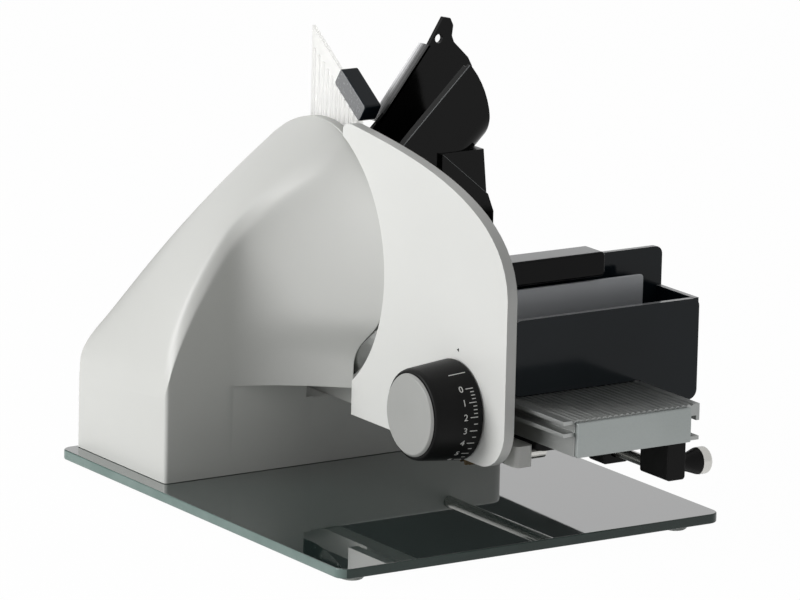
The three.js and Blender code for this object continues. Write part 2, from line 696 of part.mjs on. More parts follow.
const knobLeft = blockRight + seat;
const knobY = (blockFront + blockBack) / 2;
const knobProfile = [[0, knobLeft], [knobRadius - 2, knobLeft], [knobWaist + 1, knobLeft + knobLength * 0.2],
  [knobWaist, knobLeft + knobLength * 0.4], [knobWaist + 1.2, knobLeft + knobLength * 0.65],
  [knobRadius, knobLeft + knobLength], [0, knobLeft + knobLength]];
add('lock_knob', turnedX(knobProfile, knobY, rodZ + knobLift, 20), black);
const knobCapLeft = knobLeft + knobLength + seat;
const knobCapRight = knobCapLeft + knobCapThick;
const knobCapProfile = [[0, knobCapLeft], [knobRadius, knobCapLeft], [knobRadius, knobCapRight - 1.5],
  [knobRadius - 1.5, knobCapRight], [0, knobCapRight]];
add('lock_knob_cap', turnedX(knobCapProfile, knobY, rodZ + knobLift, 20), steel);

// Carriage: extruded tray with ribs on top and slots in its sides

const trayShape = () => {
  const points = [[trayLeft + traySlot, trayBottom], [trayRight, trayBottom], [trayRight, trayBottom + trayWall],
    [trayRight - traySlot, trayBottom + trayWall], [trayRight - traySlot, trayTop - 3 * trayWall],
    [trayRight - trayWall, trayTop - 3 * trayWall], [trayRight - trayWall, trayTop - 3 * trayWall - 3],
    [trayRight, trayTop - 3 * trayWall - 3], [trayRight, trayTop]];
  const ribs = Math.floor((trayRight - trayLeft - 2 * ribPitch) / ribPitch);
  const start = (trayLeft + trayRight) / 2 + ribs * ribPitch / 2;
  for (let i = 0; i < ribs; i += 1) {
    const x = start - i * ribPitch;
    points.push([x, trayTop], [x - 0.8, trayTop - ribDepth], [x - 1.8, trayTop - ribDepth], [x - 2.6, trayTop]);
  }
  points.push([trayLeft, trayTop], [trayLeft, trayTop - trayWall], [trayLeft + traySlot, trayTop - trayWall],
    [trayLeft + traySlot, trayTop - 3 * trayWall], [trayLeft, trayTop - 3 * trayWall],
    [trayLeft, trayTop - 4 * trayWall], [trayLeft + traySlot, trayTop - 4 * trayWall]);
  return shapeOf(points);
};
const trayBack = trayFront + trayLength;
const trayCore = box(trayLeft + traySlot + trayWall, trayRight - traySlot - trayWall, trayFront - 1, trayBack + 1,
  trayBottom + trayWall, trayTop - 2 * trayWall);
add('carriage_tray', sweepY(trayShape(), trayFront, trayBack).subtract(trayCore), aluminium);

const endCap = (name, y0) => {
  const shape = rounded(trayLeft + traySlot, trayRight - traySlot, trayBottom, trayTop - ribDepth - seat, 1);
  add(name, sweepY(shape, y0, y0 + capThick, 3), aluminium);
};
endCap('front_end_cap', trayFront - seat - capThick);
endCap('rear_end_cap', trayBack + seat);

// Shoes under the tray that run on the guide rod and on the arm
const shoeTop = trayBottom - seat;
const shoeShape = rounded(rodX - shoeHalf, rodX + shoeHalf, rodZ - shoeDrop, shoeTop, 2);
const rodShoe = sweepY(shoeShape, shoeFront, shoeFront + shoeLength, 3);
const shoeBore = rodAlongY(rodRadius + running, shoeFront - 1, shoeFront + shoeLength + 1, rodX, rodZ);
add('rod_shoe', rodShoe.subtract(shoeBore), black);
const padLeft = armRight + running;
const padFront = trayFront + padInset;
const padShape = rounded(padLeft, padLeft + padWidth, padFront, padFront + padLength, padCorner);
add('arm_shoe', sweepZ(padShape, shoeTop - padThick, shoeTop, 4), black);

// Hand guard: an open-topped box with a tall back wall, on the tray

const guardFloor = trayTop + seat;
const guardShell = () => {
  const frontWall = sweepY(rounded(guardLeft, guardRight, guardFloor, guardTop, 5),
    guardFront, guardFront + guardWall, 4);
  const apron = sweepY(rounded(trayRight + 1, guardRight, guardLow, guardTop - 8, 6),
    guardFront, guardFront + guardWall, 4);
  const sideWall = box(guardRight - guardWall, guardRight, guardFront + 1, guardBack - 1, guardFloor, guardTop);
  const backWall = sweepY(rounded(guardLeft, guardRight, guardFloor, guardTall, 5),
    guardBack - guardWall, guardBack, 4);
  const floor = box(guardLeft, guardRight, guardFront + 1, guardBack - 1, guardFloor, guardFloor + guardWall);
  return frontWall.add(apron).add(sideWall).add(backWall).add(floor);
};
add('hand_guard', guardShell(), black);

const linerBack = guardBack - guardWall - gripDepth + 6;
const gripHigh = guardTall + gripRise;
const linerTop = gripHigh - gripHeight - linerGap;
const linerShape = rounded(guardLeft + 1, linerRight, guardFloor + guardWall + seat, linerTop, 2);
add('guard_liner', sweepY(linerShape, linerBack - linerThick, linerBack, 3), grey);

const gripShape = rounded(guardLeft, gripRight, gripHigh - gripHeight, gripHigh, 3);
const gripBack = guardBack - guardWall - seat;
add('guard_grip', sweepY(gripShape, gripBack - gripDepth, gripBack, 4), black);

// Food chute: a steep open trough that ends beside the blade, on a leg

const chuteY = trayBack + chuteOverhang;
const slope = radians(chuteSlope);
const chuteAxis = new THREE.Vector3(Math.cos(slope), 0, Math.sin(slope)); // up the trough
const chuteDown = new THREE.Vector3(Math.sin(slope), 0, -Math.cos(slope)); // from its mouth edge to its floor
const chuteStart = new THREE.Vector3(chuteMouthX, chuteY, chuteMouthTop);
const chuteFrame = new THREE.Matrix4().makeBasis(
  new THREE.Vector3(0, 1, 0), chuteDown, chuteAxis.clone().negate(),
).setPosition(chuteStart);

const troughShape = (offset) => {
  const half = chuteHalf - offset;
  const deep = chuteDepth - offset;
  const radius = chuteCorner - offset;
  const shape = new THREE.Shape();
  shape.moveTo(-half, -offset * 2);
  shape.lineTo(half, -offset * 2);
  shape.lineTo(half, deep - radius);
  shape.absarc(half - radius, deep - radius, radius, 0, Math.PI / 2, false);
  shape.lineTo(radius - half, deep);
  shape.absarc(radius - half, deep - radius, radius, Math.PI / 2, Math.PI, false);
  shape.lineTo(-half, -offset * 2);
  return shape;
};
const farTop = [[1.7, 217.8], [35.9, 261.7], [46, 278]]; // the far wall's upper edge, up to the tab
const farEnd = [[51, 277], [53.2, 272.5], [52.4, 266], [54, 262], [59, 257.2], [64.5, 251.8], [67.5, 246.3],
  [68.3, 240], [66.5, 231], [61, 222], [52, 213]]; // round the tab and down the far end
const farHole = [43, 265];
const legSide = [[legRight, 158], [legRight, 165.5], [53.3, 176]];
const legTop = [[50.5, 204], [19.5, 203.8]];
const chuteSolid = () => {
  const reach = 120; // runs past the mouth, then is cut off there
  const outer = toSolid(extrude(troughShape(0), chuteLength + reach, 6)
    .translate(0, 0, -chuteLength).applyMatrix4(chuteFrame));
  const inner = toSolid(extrude(troughShape(chuteWall), chuteLength + reach + 2, 6)
    .translate(0, 0, -chuteLength - 1).applyMatrix4(chuteFrame));
  const upperEnd = rodAlongY(chuteEndRadius, chuteY - 60, chuteY + 60, chuteEndX, chuteEndZ, 64);
  const lowerPart = box(chuteMouthX, legRight, chuteY - 60, chuteY + 60, trayTop + seat, chuteEndZ - 20);
  const farBack = chuteY + chuteHalf;
  const farShape = shapeOf([[chuteMouthX, chuteMouthTop - 30], [chuteMouthX, chuteMouthTop], ...farTop, ...farEnd]);
  const hole = rodAlongY(tabHole, farBack - 10, farBack + 10, farHole[0], farHole[1], 16);
  const farWall = sweepY(farShape, farBack - chuteWall, farBack).subtract(hole);
  const [lipStart, lipEnd] = farTop;
  const lipAngle = Math.atan2(lipEnd[1] - lipStart[1], lipEnd[0] - lipStart[0]);
  const lipDown = [lipThick * Math.sin(lipAngle), -lipThick * Math.cos(lipAngle)];
  const lipShape = shapeOf([lipStart, lipEnd, [lipEnd[0] + lipDown[0], lipEnd[1] + lipDown[1]],
    [lipStart[0] + lipDown[0], lipStart[1] + lipDown[1]]]);
  const farLip = sweepY(lipShape, farBack - chuteWall, farBack + lipDepth);
  const legFoot = [[legLeft, trayTop + seat], [legRight, trayTop + seat]];
  const legNeck = [[legTop[1][0], legTop[1][1] - 11], [legLeft, 150]];
  const leg = sweepY(shapeOf([...legFoot, ...legSide, ...legTop, ...legNeck]), chuteY - legHalf + legStep,
    chuteY + legHalf);
  const legFace = sweepY(shapeOf([...legFoot, ...legSide, legTop[1], ...legNeck]), chuteY - legHalf,
    chuteY - legHalf + legStep + 1);
  const keep = box(chuteMouthX, legRight + 60, chuteY - 60, chuteY + 60, trayTop + seat, 400);
  const trough = outer.subtract(inner).intersect(keep).intersect(upperEnd.add(lowerPart));
  return trough.add(leg.add(legFace).subtract(inner)).add(farWall).add(farLip);
};
add('food_chute', chuteSolid(), black);

// Pusher: a pale ribbed plate with a grip on its front edge

const pusherFront = chuteY + pusherStart;
const pusherBack = pusherFront + pusherLength;
const pusherRest = (pusherX + pusherThick - chuteMouthX) * Math.tan(slope); // the chute's edge climbs under it
const pusherLow = chuteMouthTop + pusherRest + seat;
const pusherShape = shapeOf([[pusherFront, pusherLow], [pusherBack, pusherLow], [pusherBack, pusherTop],
  [pusherFront, pusherLow + pusherNose]]);
let pusher = sweepX(pusherShape, pusherX, pusherX + pusherThick);
for (let y = pusherFront + 8; y < pusherBack - 4; y += 5) {
  const ribTop = mix(pusherLow + pusherNose, pusherTop, (y - pusherFront) / (pusherBack - pusherFront)) - 10;
  pusher = pusher.add(box(pusherX - 1, pusherX + 0.5, y, y + 1.6, pusherLow, ribTop));
}
const gripAngle = Math.atan2(pusherTop - pusherLow - pusherNose, pusherBack - pusherFront);
const gripBar = toSolid(extrude(rounded(0, pusherGripLength, 0, pusherGripWide, 2), pusherGripThick, 3)
  .applyMatrix4(new THREE.Matrix4().set(0, 0, 1, 0, 1, 0, 0, 0, 0, 1, 0, 0, 0, 0, 0, 1))
  .rotateX(gripAngle)
  .translate(pusherX - 1, pusherFront + pusherGripStart, pusherLow + pusherGripLift));
add('pusher_plate', pusher.subtract(gripBar), clear);
add('pusher_grip', gripBar, black);

// Switch button and cord gland

const buttonLeft = plinthRight - wall - 4;
const buttonRight = plinthRight + buttonReach;
const buttonProfile = [[0, buttonLeft], [buttonRadius, buttonLeft], [buttonRadius, buttonRight - 1],
  [buttonRadius - 1, buttonRight], [0, buttonRight]];
add('switch_button', turnedX(buttonProfile, buttonY, buttonZ), black);

const glandProfile = [[0, plinthBack - wall - 4], [glandRadius, plinthBack - wall - 4],
  [glandRadius, plinthBack + seat], [glandRadius + 2, plinthBack + seat], [glandRadius + 1, plinthBack + 2],
  [3, plinthBack + 2], [3, plinthBack - wall], [0, plinthBack - wall]];
add('cord_gland', turnedY(glandProfile, glandX, glandZ), black);

export default machine;
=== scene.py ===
# Looks of the food slicer: finishes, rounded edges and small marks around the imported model.
import json
import math

import bpy
from mathutils import Matrix, Vector


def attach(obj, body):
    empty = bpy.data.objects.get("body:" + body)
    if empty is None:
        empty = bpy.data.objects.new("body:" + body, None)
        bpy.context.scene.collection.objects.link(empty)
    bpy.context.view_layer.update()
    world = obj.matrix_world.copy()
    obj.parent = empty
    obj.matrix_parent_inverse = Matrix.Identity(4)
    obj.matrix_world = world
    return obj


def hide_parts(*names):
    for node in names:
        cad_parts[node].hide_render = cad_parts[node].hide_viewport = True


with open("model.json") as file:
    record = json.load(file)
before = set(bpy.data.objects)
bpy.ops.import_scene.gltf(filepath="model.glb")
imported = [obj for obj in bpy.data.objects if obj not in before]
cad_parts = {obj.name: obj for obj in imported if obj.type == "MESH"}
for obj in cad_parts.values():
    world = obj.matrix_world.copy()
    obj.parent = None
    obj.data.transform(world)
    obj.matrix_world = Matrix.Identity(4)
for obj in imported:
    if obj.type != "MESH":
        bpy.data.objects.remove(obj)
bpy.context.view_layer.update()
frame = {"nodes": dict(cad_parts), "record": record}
mm = 0.001

print("camera")

viewSetup = {
    "azimuth": -33.48,  # degrees, seen from the front left
    "elevation": 13.15,
    "roll": 1.31,
    "distance": 4.0,
    "target": (7.28 * mm, 18.4 * mm, 122.96 * mm),
    "lens": 298.8,
}


def makeCamera(setup):
    azimuth = math.radians(setup["azimuth"])
    elevation = math.radians(setup["elevation"])
    back = Vector((
        math.sin(azimuth) * math.cos(elevation),
        -math.cos(azimuth) * math.cos(elevation),
        math.sin(elevation),
    ))
    right = Vector((math.cos(azimuth), math.sin(azimuth), 0))
    up = back.cross(right)
    turn = Matrix((right, up, back)).transposed().to_4x4()
    turn = turn @ Matrix.Rotation(math.radians(setup["roll"]), 4, "Z")
    bpy.ops.object.camera_add(location=Vector(setup["target"]) + back * setup["distance"])
    camera = bpy.context.object
    camera.name = "photoCamera"
    camera.rotation_euler = turn.to_euler()
    camera.data.lens = setup["lens"]
    camera.data.sensor_width = 36
    bpy.context.scene.camera = camera


makeCamera(viewSetup)

print("helpers")

machineShift = Vector((0, 18.4, 12))  # mm, from the machine's own zero on the glass to the shared frame


def clamp(value, low, high):
    return max(low, min(high, value))


def blendOf(first, second, share):
    return first + (second - first) * share


def easeOf(share):
    return share * share * (3 - 2 * share)


def placed(x, y, z):
    return (Vector((x, y, z)) + machineShift) * mm


def takeOnly(piece):
    bpy.ops.object.select_all(action="DESELECT")
    piece.select_set(True)
    bpy.context.view_layer.objects.active = piece


def applyModifier(piece, kind, **settings):
    takeOnly(piece)
    modifier = piece.modifiers.new(kind.lower(), kind)
    for key, value in settings.items():
        setattr(modifier, key, value)
    bpy.ops.object.modifier_apply(modifier=modifier.name)


def editAll(piece, *steps):
    takeOnly(piece)
    bpy.ops.object.mode_set(mode="EDIT")
    bpy.ops.mesh.select_all(action="SELECT")
    for operator, settings in steps:
        operator(**settings)
    bpy.ops.object.mode_set(mode="OBJECT")


def settle(piece):
    # place, turn and size go into the mesh
    takeOnly(piece)
    bpy.ops.object.transform_apply(location=True, rotation=True, scale=True)
    return piece


def copyOfNode(nodeName, pieceName):
    node = frame["nodes"][nodeName]
    piece = bpy.data.objects.new(pieceName, node.data.copy())
    bpy.context.scene.collection.objects.link(piece)
    takeOnly(piece)
    bpy.ops.mesh.customdata_custom_splitnormals_clear()
    editAll(
        piece,
        (bpy.ops.mesh.remove_doubles, {"threshold": 0.01 * mm}),
        (bpy.ops.mesh.dissolve_limited, {"angle_limit": math.radians(0.4)}),
    )
    piece.data.materials.clear()
    return piece


def roundEdges(piece, width, segments=3, fromAngle=32):
    applyModifier(
        piece, "BEVEL", width=width, segments=segments, limit_method="ANGLE",
        angle_limit=math.radians(fromAngle), use_clamp_overlap=True, miter_outer="MITER_ARC",
    )


def smoothOver(piece, angle=38, weighted=True):
    takeOnly(piece)
    bpy.ops.object.shade_smooth_by_angle(angle=math.radians(angle))
    if weighted:
        applyModifier(piece, "WEIGHTED_NORMAL", keep_sharp=True, weight=60)


def meshPiece(name, points, faces):
    mesh = bpy.data.meshes.new(name)
    mesh.from_pydata(points, [], faces)
    piece = bpy.data.objects.new(name, mesh)
    bpy.context.scene.collection.objects.link(piece)
    return piece


def facingOut(piece):
    editAll(piece, (bpy.ops.mesh.normals_make_consistent, {"inside": False}))
    return piece


def joinInto(piece, others):
    takeOnly(piece)
    for other in others:
        other.select_set(True)
    bpy.ops.object.join()
    return piece


def combine(piece, other, operation):
    applyModifier(piece, "BOOLEAN", object=other, operation=operation, solver="EXACT")
    bpy.data.objects.remove(other, do_unlink=True)


def arcPoint(y, z, radius, angle):
    return y + radius * math.cos(angle), z + radius * math.sin(angle)


def roundRod(axis, radius, start, end, first, second):
    # a rod along X or Y, in machine mm, used to cut seats
    turn = (0, math.radians(90), 0) if axis == "X" else (math.radians(90), 0, 0)
    middle = (start + end) / 2
    centre = placed(middle, first, second) if axis == "X" else placed(first, middle, second)
    bpy.ops.mesh.primitive_cylinder_add(
        vertices=64, radius=radius * mm, depth=abs(end - start) * mm, location=centre, rotation=turn,
    )
    return settle(bpy.context.object)


def blockBetween(low, high):
    # an upright block between two corners, in machine mm
    low, high = Vector(low), Vector(high)
    bpy.ops.mesh.primitive_cube_add(size=1, location=placed(*((low + high) / 2)))
    block = bpy.context.object
    block.scale = (high - low) * mm
    return settle(block)


def bevelWhere(piece, chosen, width, segments, held=False):
    # rounds only the edges whose two ends pass the test; width in mm
    takeOnly(piece)
    bpy.ops.object.mode_set(mode="EDIT")
    bpy.ops.mesh.select_mode(type="EDGE")
    bpy.ops.mesh.select_all(action="DESELECT")
    bpy.ops.object.mode_set(mode="OBJECT")
    points = piece.data.vertices
    for line in piece.data.edges:
        first, second = (points[i].co for i in line.vertices)
        line.select = chosen(first, second)
    bpy.ops.object.mode_set(mode="EDIT")
    bpy.ops.mesh.bevel(offset=width * mm, segments=segments, affect="EDGES", clamp_overlap=held)
    bpy.ops.object.mode_set(mode="OBJECT")


def roundedBlock(low, high, corner, edge):
    # an upright block with rounded corners and a softened top, in machine mm
    block = blockBetween(low, high)
    top = placed(*high).z
    bevelWhere(block, lambda first, second: abs(first.z - second.z) > 0.1 * mm, corner, 8)
    bevelWhere(block, lambda first, second: min(first.z, second.z) > top - 0.01 * mm, edge, 4)
    return block


def dress(piece, material, body, slot, *nodes):
    if material:
        piece.data.materials.clear()
        piece.data.materials.append(material)
    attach(piece, body)
    if nodes:
        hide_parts(*nodes)
    return piece


print("finishes")


def newGroup(name, inputs, outputs):
    group = bpy.data.node_groups.new(name, "ShaderNodeTree")
    for label, kind, value in inputs:
        socket = group.interface.new_socket(name=label, in_out="INPUT", socket_type=kind)
        socket.default_value = value
    for label, kind in outputs:
        group.interface.new_socket(name=label, in_out="OUTPUT", socket_type=kind)
    return group, group.nodes.new("NodeGroupInput"), group.nodes.new("NodeGroupOutput")


def makeGrain():
    # fine noise, stretched along one axis for brushed or drawn metal
    group, given, out = newGroup(
        "fineGrain",
        [("Stretch", "NodeSocketVector", (1, 1, 1)), ("Scale", "NodeSocketFloat", 400),
         ("Low", "NodeSocketFloat", 0.3), ("High", "NodeSocketFloat", 0.5)],
        [("Value", "NodeSocketFloat"), ("Rough", "NodeSocketFloat")],
    )
    nodes, links = group.nodes, group.links
    place = nodes.new("ShaderNodeTexCoord")
    stretch = nodes.new("ShaderNodeMapping")
    noise = nodes.new("ShaderNodeTexNoise")
    noise.inputs["Detail"].default_value = 4
    spread = nodes.new("ShaderNodeMapRange")
    spread.inputs["From Min"].default_value = 0.3
    spread.inputs["From Max"].default_value = 0.7
    links.new(place.outputs["Object"], stretch.inputs["Vector"])
    links.new(given.outputs["Stretch"], stretch.inputs["Scale"])
    links.new(stretch.outputs["Vector"], noise.inputs["Vector"])
    links.new(given.outputs["Scale"], noise.inputs["Scale"])
    links.new(noise.outputs["Fac"], spread.inputs["Value"])
    links.new(given.outputs["Low"], spread.inputs["To Min"])
    links.new(given.outputs["High"], spread.inputs["To Max"])
    links.new(noise.outputs["Fac"], out.inputs["Value"])
    links.new(spread.outputs["Result"], out.inputs["Rough"])
    return group


def makeTint():
    # slow drift between two close colours, so that no surface is one flat value
    group, given, out = newGroup(
        "slowTint",
        [("First", "NodeSocketColor", (0.5, 0.5, 0.5, 1)),
         ("Second", "NodeSocketColor", (0.6, 0.6, 0.6, 1)),
         ("Scale", "NodeSocketFloat", 14)],
        [("Color", "NodeSocketColor")],
    )
    nodes, links = group.nodes, group.links
    place = nodes.new("ShaderNodeTexCoord")
    noise = nodes.new("ShaderNodeTexNoise")
    noise.inputs["Detail"].default_value = 3
    ramp = nodes.new("ShaderNodeMapRange")
    ramp.inputs["From Min"].default_value = 0.35
    ramp.inputs["From Max"].default_value = 0.65
    mix = nodes.new("ShaderNodeMix")
    mix.data_type = "RGBA"
    links.new(place.outputs["Object"], noise.inputs["Vector"])
    links.new(given.outputs["Scale"], noise.inputs["Scale"])
    links.new(noise.outputs["Fac"], ramp.inputs["Value"])
    links.new(ramp.outputs["Result"], mix.inputs["Factor"])
    links.new(given.outputs["First"], mix.inputs["A"])
    links.new(given.outputs["Second"], mix.inputs["B"])
    links.new(mix.outputs["Result"], out.inputs["Color"])
    return group


fineGrain = makeGrain()
slowTint = makeTint()


def makeFinish(name, first, second, low, high, grain, bump, stretch=(1, 1, 1), tintScale=14, **plain):
    material = bpy.data.materials.new(name)
    material.use_nodes = True
    nodes, links = material.node_tree.nodes, material.node_tree.links
    shader = nodes["Principled BSDF"]
    tint = nodes.new("ShaderNodeGroup")
    tint.node_tree = slowTint
    tint.inputs["First"].default_value = (*first, 1)
    tint.inputs["Second"].default_value = (*second, 1)
    tint.inputs["Scale"].default_value = tintScale
    skin = nodes.new("ShaderNodeGroup")
    skin.node_tree = fineGrain
    skin.inputs["Scale"].default_value = grain
    skin.inputs["Stretch"].default_value = stretch
    skin.inputs["Low"].default_value = low
    skin.inputs["High"].default_value = high
    relief = nodes.new("ShaderNodeBump")
    relief.inputs["Strength"].default_value = bump
    relief.inputs["Distance"].default_value = 0.1 * mm
    links.new(tint.outputs["Color"], shader.inputs["Base Color"])
    links.new(skin.outputs["Rough"], shader.inputs["Roughness"])
    links.new(skin.outputs["Value"], relief.inputs["Height"])
    links.new(relief.outputs["Normal"], shader.inputs["Normal"])
    for socket, value in plain.items():
        shader.inputs[socket.replace("_", " ")].default_value = value
    return material


def makeTurned(name, centre, rings, first, second, low, high, **plain):
    # steel ground on a lathe: fine rings round the X axis through centre
    material = makeFinish(name, first, second, low, high, 300, 0.05, **plain)
    nodes, links = material.node_tree.nodes, material.node_tree.links
    place = nodes.new("ShaderNodeTexCoord")
    shift = nodes.new("ShaderNodeMapping")
    shift.inputs["Location"].default_value = -Vector(centre)
    wave = nodes.new("ShaderNodeTexWave")
    wave.wave_type = "RINGS"
    wave.rings_direction = "X"
    wave.inputs["Scale"].default_value = rings
    wave.inputs["Distortion"].default_value = 1.5
    wave.inputs["Detail"].default_value = 3
    relief = nodes.new("ShaderNodeBump")
    relief.inputs["Strength"].default_value = 0.12
    relief.inputs["Distance"].default_value = 0.05 * mm
    links.new(place.outputs["Object"], shift.inputs["Vector"])
    links.new(shift.outputs["Vector"], wave.inputs["Vector"])
    links.new(wave.outputs["Fac"], relief.inputs["Height"])
    links.new(relief.outputs["Normal"], nodes["Principled BSDF"].inputs["Normal"])
    return material


# name, two close colours, roughness from low to high, scale of the grain, strength of its bump
finishes = {
    "paint": makeFinish("satinPaint", (0.64, 0.645, 0.62), (0.65, 0.655, 0.63), 0.4, 0.46, 900, 0.0,
                        Coat_Weight=0.1, Coat_Roughness=0.2),
    "platePaint": makeFinish("platePaint", (0.78, 0.785, 0.76), (0.79, 0.795, 0.77), 0.36, 0.42, 900, 0.0,
                             Coat_Weight=0.1, Coat_Roughness=0.2),
    "glass": makeFinish("smokedGlass", (0.028, 0.047, 0.043), (0.033, 0.052, 0.048), 0.015, 0.03, 60, 0.005,
                        IOR=1.6, Coat_Weight=1.0, Coat_Roughness=0.01, Coat_IOR=1.75),
    "glassEdge": makeFinish("glassEdge", (0.03, 0.06, 0.05), (0.045, 0.08, 0.07), 0.05, 0.12, 200, 0.02,
                            IOR=1.4, tintScale=40),
    # painted light: the glass edge's side that faces the lamp
    "glassEdgePaintedLight": makeFinish("glassEdgePaintedLight", (0.13, 0.2, 0.18), (0.17, 0.24, 0.22), 0.08, 0.15,
                                200, 0.02, IOR=1.52, tintScale=40),
    "footRubber": makeFinish("paleRubber", (0.6, 0.63, 0.6), (0.68, 0.7, 0.67), 0.5, 0.65, 700, 0.2),
    "blade": makeTurned("groundSteel", placed(0, 58.5, 129.5), 900, (0.55, 0.56, 0.55), (0.62, 0.63, 0.62),
                        0.16, 0.28, Metallic=1.0),
    "steel": makeFinish("drawnSteel", (0.52, 0.52, 0.5), (0.62, 0.61, 0.58), 0.2, 0.35, 500, 0.1,
                        stretch=(3, 0.1, 3), Metallic=1.0),
    "tray": makeFinish("anodisedTray", (0.34, 0.35, 0.345), (0.4, 0.41, 0.4), 0.3, 0.45, 500, 0.12,
                       stretch=(4, 0.1, 4), Metallic=0.9),
    "capGrey": makeFinish("endCapGrey", (0.33, 0.355, 0.348), (0.36, 0.385, 0.378), 0.4, 0.5, 800, 0.06,
                          Metallic=0.9),
    "gloss": makeFinish("glossBlack", (0.008, 0.0135, 0.018), (0.011, 0.017, 0.022), 0.1, 0.16, 500, 0.0,
                        Specular_IOR_Level=0.18),
    "grip": makeFinish("gripBlack", (0.004, 0.004, 0.0045), (0.006, 0.006, 0.0065), 0.2, 0.26, 500, 0.0,
                       Specular_IOR_Level=0.1),
    # painted reflections on the tops and sides of black parts
    "paintedTopReflection": makeFinish("paintedTopReflection", (0.4, 0.41, 0.42), (0.44, 0.45, 0.46), 0.12, 0.2, 500, 0.0),
    "paintedSideReflection": makeFinish("paintedSideReflection", (0.15, 0.155, 0.16), (0.19, 0.195, 0.2), 0.2, 0.3, 500, 0.0),
    # painted highlights along the chute's edges
    "sheen": makeFinish("edgeSheen", (0.16, 0.17, 0.175), (0.22, 0.23, 0.235), 0.15, 0.25, 500, 0.01),
    "trough": makeFinish("troughBlack", (0.004, 0.004, 0.004), (0.006, 0.006, 0.006), 0.1, 0.16, 500, 0.01,
                         Specular_IOR_Level=0.14),
    "satin": makeFinish("satinBlack", (0.005, 0.005, 0.005), (0.009, 0.009, 0.009), 0.36, 0.46, 1400, 0.25,
                        Specular_IOR_Level=0.12),
    "panel": makeFinish("greyPanel", (0.7, 0.725, 0.755), (0.76, 0.785, 0.815), 0.3, 0.4, 700, 0.03),
    "capPlastic": makeFinish("dialCapGrey", (0.36, 0.365, 0.35), (0.4, 0.405, 0.39), 0.35, 0.45, 900, 0.08),
    "brass": makeFinish("plainBrass", (0.6, 0.42, 0.16), (0.68, 0.5, 0.22), 0.25, 0.4, 400, 0.1,
                        Metallic=1.0),
    "pale": makeFinish("paleSheet", (0.94, 0.94, 0.915), (0.96, 0.96, 0.945), 0.35, 0.45, 500, 0.01,
                       Transmission_Weight=0.85, IOR=1.08),
    # painted shade for the wall behind the blade
    "paintedWellShade": makeFinish("bladeWellShade", (0.006, 0.006, 0.006), (0.01, 0.01, 0.01), 0.3, 0.4, 500, 0.02),
    "darkBrass": makeFinish("oiledBrass", (0.07, 0.052, 0.03), (0.1, 0.075, 0.042), 0.4, 0.55, 400, 0.1,
                            Metallic=1.0),
    "nylon": makeFinish("naturalNylon", (0.72, 0.69, 0.58), (0.78, 0.75, 0.64), 0.45, 0.55, 600, 0.15),
    "print": makeFinish("whitePrint", (0.72, 0.72, 0.7), (0.8, 0.8, 0.78), 0.45, 0.55, 900, 0.02),
}


def paintFaces(piece, finish, chosen):
    # the chosen faces get a finish of their own
    piece.data.materials.append(finishes[finish])
    for face in piece.data.polygons:
        if chosen(face):
            face.material_index = len(piece.data.materials) - 1


slotOf = {s["node"]: s["material_slot"] for s in frame["record"]["subparts"]}
bodyOf = {}
for bodyName, members in frame["record"]["behaviour"]["bodies"].items():
    for member in members:
        bodyOf[member] = bodyName

print("casting")

# mm in the machine's own zero, angles in degrees; the part's solid has the same form in fewer steps
casting = {
    # the box that the dome and the plinth stand in
    "left": -124, "face": -24, "skinFace": -18.6, "front": 53.5, "back": 158, "endHeight": 52.6, "lift": 0.3,
    "plinthRight": 125, "plinthHeight": 42, "plinthRoot": 20, "plinthGap": 0.02,
    "plinthCorner": 10, "plinthEdge": 1.2,
    # the front, which bows out towards the blade
    "cowlStart": -78.7, "bowPower": 1.6, "bowBlur": 6, "bowSteps": 6,
    "arcY": 63.5, "arcZ": 131.5, "cowlRadius": 87.2, "creaseRadius": 87.5, "creaseEase": 50,
    "ledgeLow": 9.6, "ledgeHigh": 9.2, "ledgeZ": 72, "ledgeRise": 33,
    "lipHeight": 55, "lipRise": 2, "lipDrop": 2.5, "lipStep": 0.6, "lipDraw": 0.2,
    # the crease and the dome behind it
    "domeY": 63, "domeZ": 128.9, "domeRadius": 80,
    "creaseAngle": 63.8, "creasePower": 0.666, "archPower": 0.512, "shoulder": 0.2,
    "widthPower": 0.4, "narrowEnd": 0.35, "easeAngle": 60.4, "straight": 0.07, "stepEnd": 0.5,
    # steps of the skin, and its rounded ends
    "frontSteps": 44, "archSteps": 70, "softRounds": 3, "stations": 64, "stationPower": 1.35,
    "endRound": 2.6, "endRows": (0.12, 0.3, 0.6, 1.1, 1.7),
    "faceRound": 0.8, "faceRows": (0.05, 0.15, 0.3, 0.5, 0.8),
    # the hollows, and the recess beside the blade
    "wall": 1.5, "plinthWall": 3, "hollowSteps": 10, "hollowOver": 1,
    "edgeThick": 3, "edgeDeep": 17, "recessBack": 150, "recessLow": 0.3, "recessStart": 0.5,
    "recessOut": 5, "recessDrop": 2, "recessReach": 30, "recessSteps": 60,
    # the raised edge round the blade
    "rimReach": 11, "rimRoot": 0.5, "rimRound": 0.7, "rimFrom": 24.6, "rimDown": 60,
    "rimSteps": 72, "rimDownSteps": 18, "wellRadius": 80.2, "bladeY": 58.5, "bladeZ": 129.5,
}
# seats cut for other pieces: axis, radius, start, end and the two other coordinates
castSeats = [
    ("X", 10.3, -28.5, -23, 58.5, 129.8),
    ("X", 9.8, 120, 127, 105, 22.3),
    ("Y", 3.8, 51.5, 62.5, 82.5, 36.8),
]
creaseTopY = casting["arcY"] - casting["creaseRadius"] * math.cos(math.radians(casting["creaseAngle"]))
creaseTopZ = casting["arcZ"] + casting["creaseRadius"] * math.sin(math.radians(casting["creaseAngle"]))


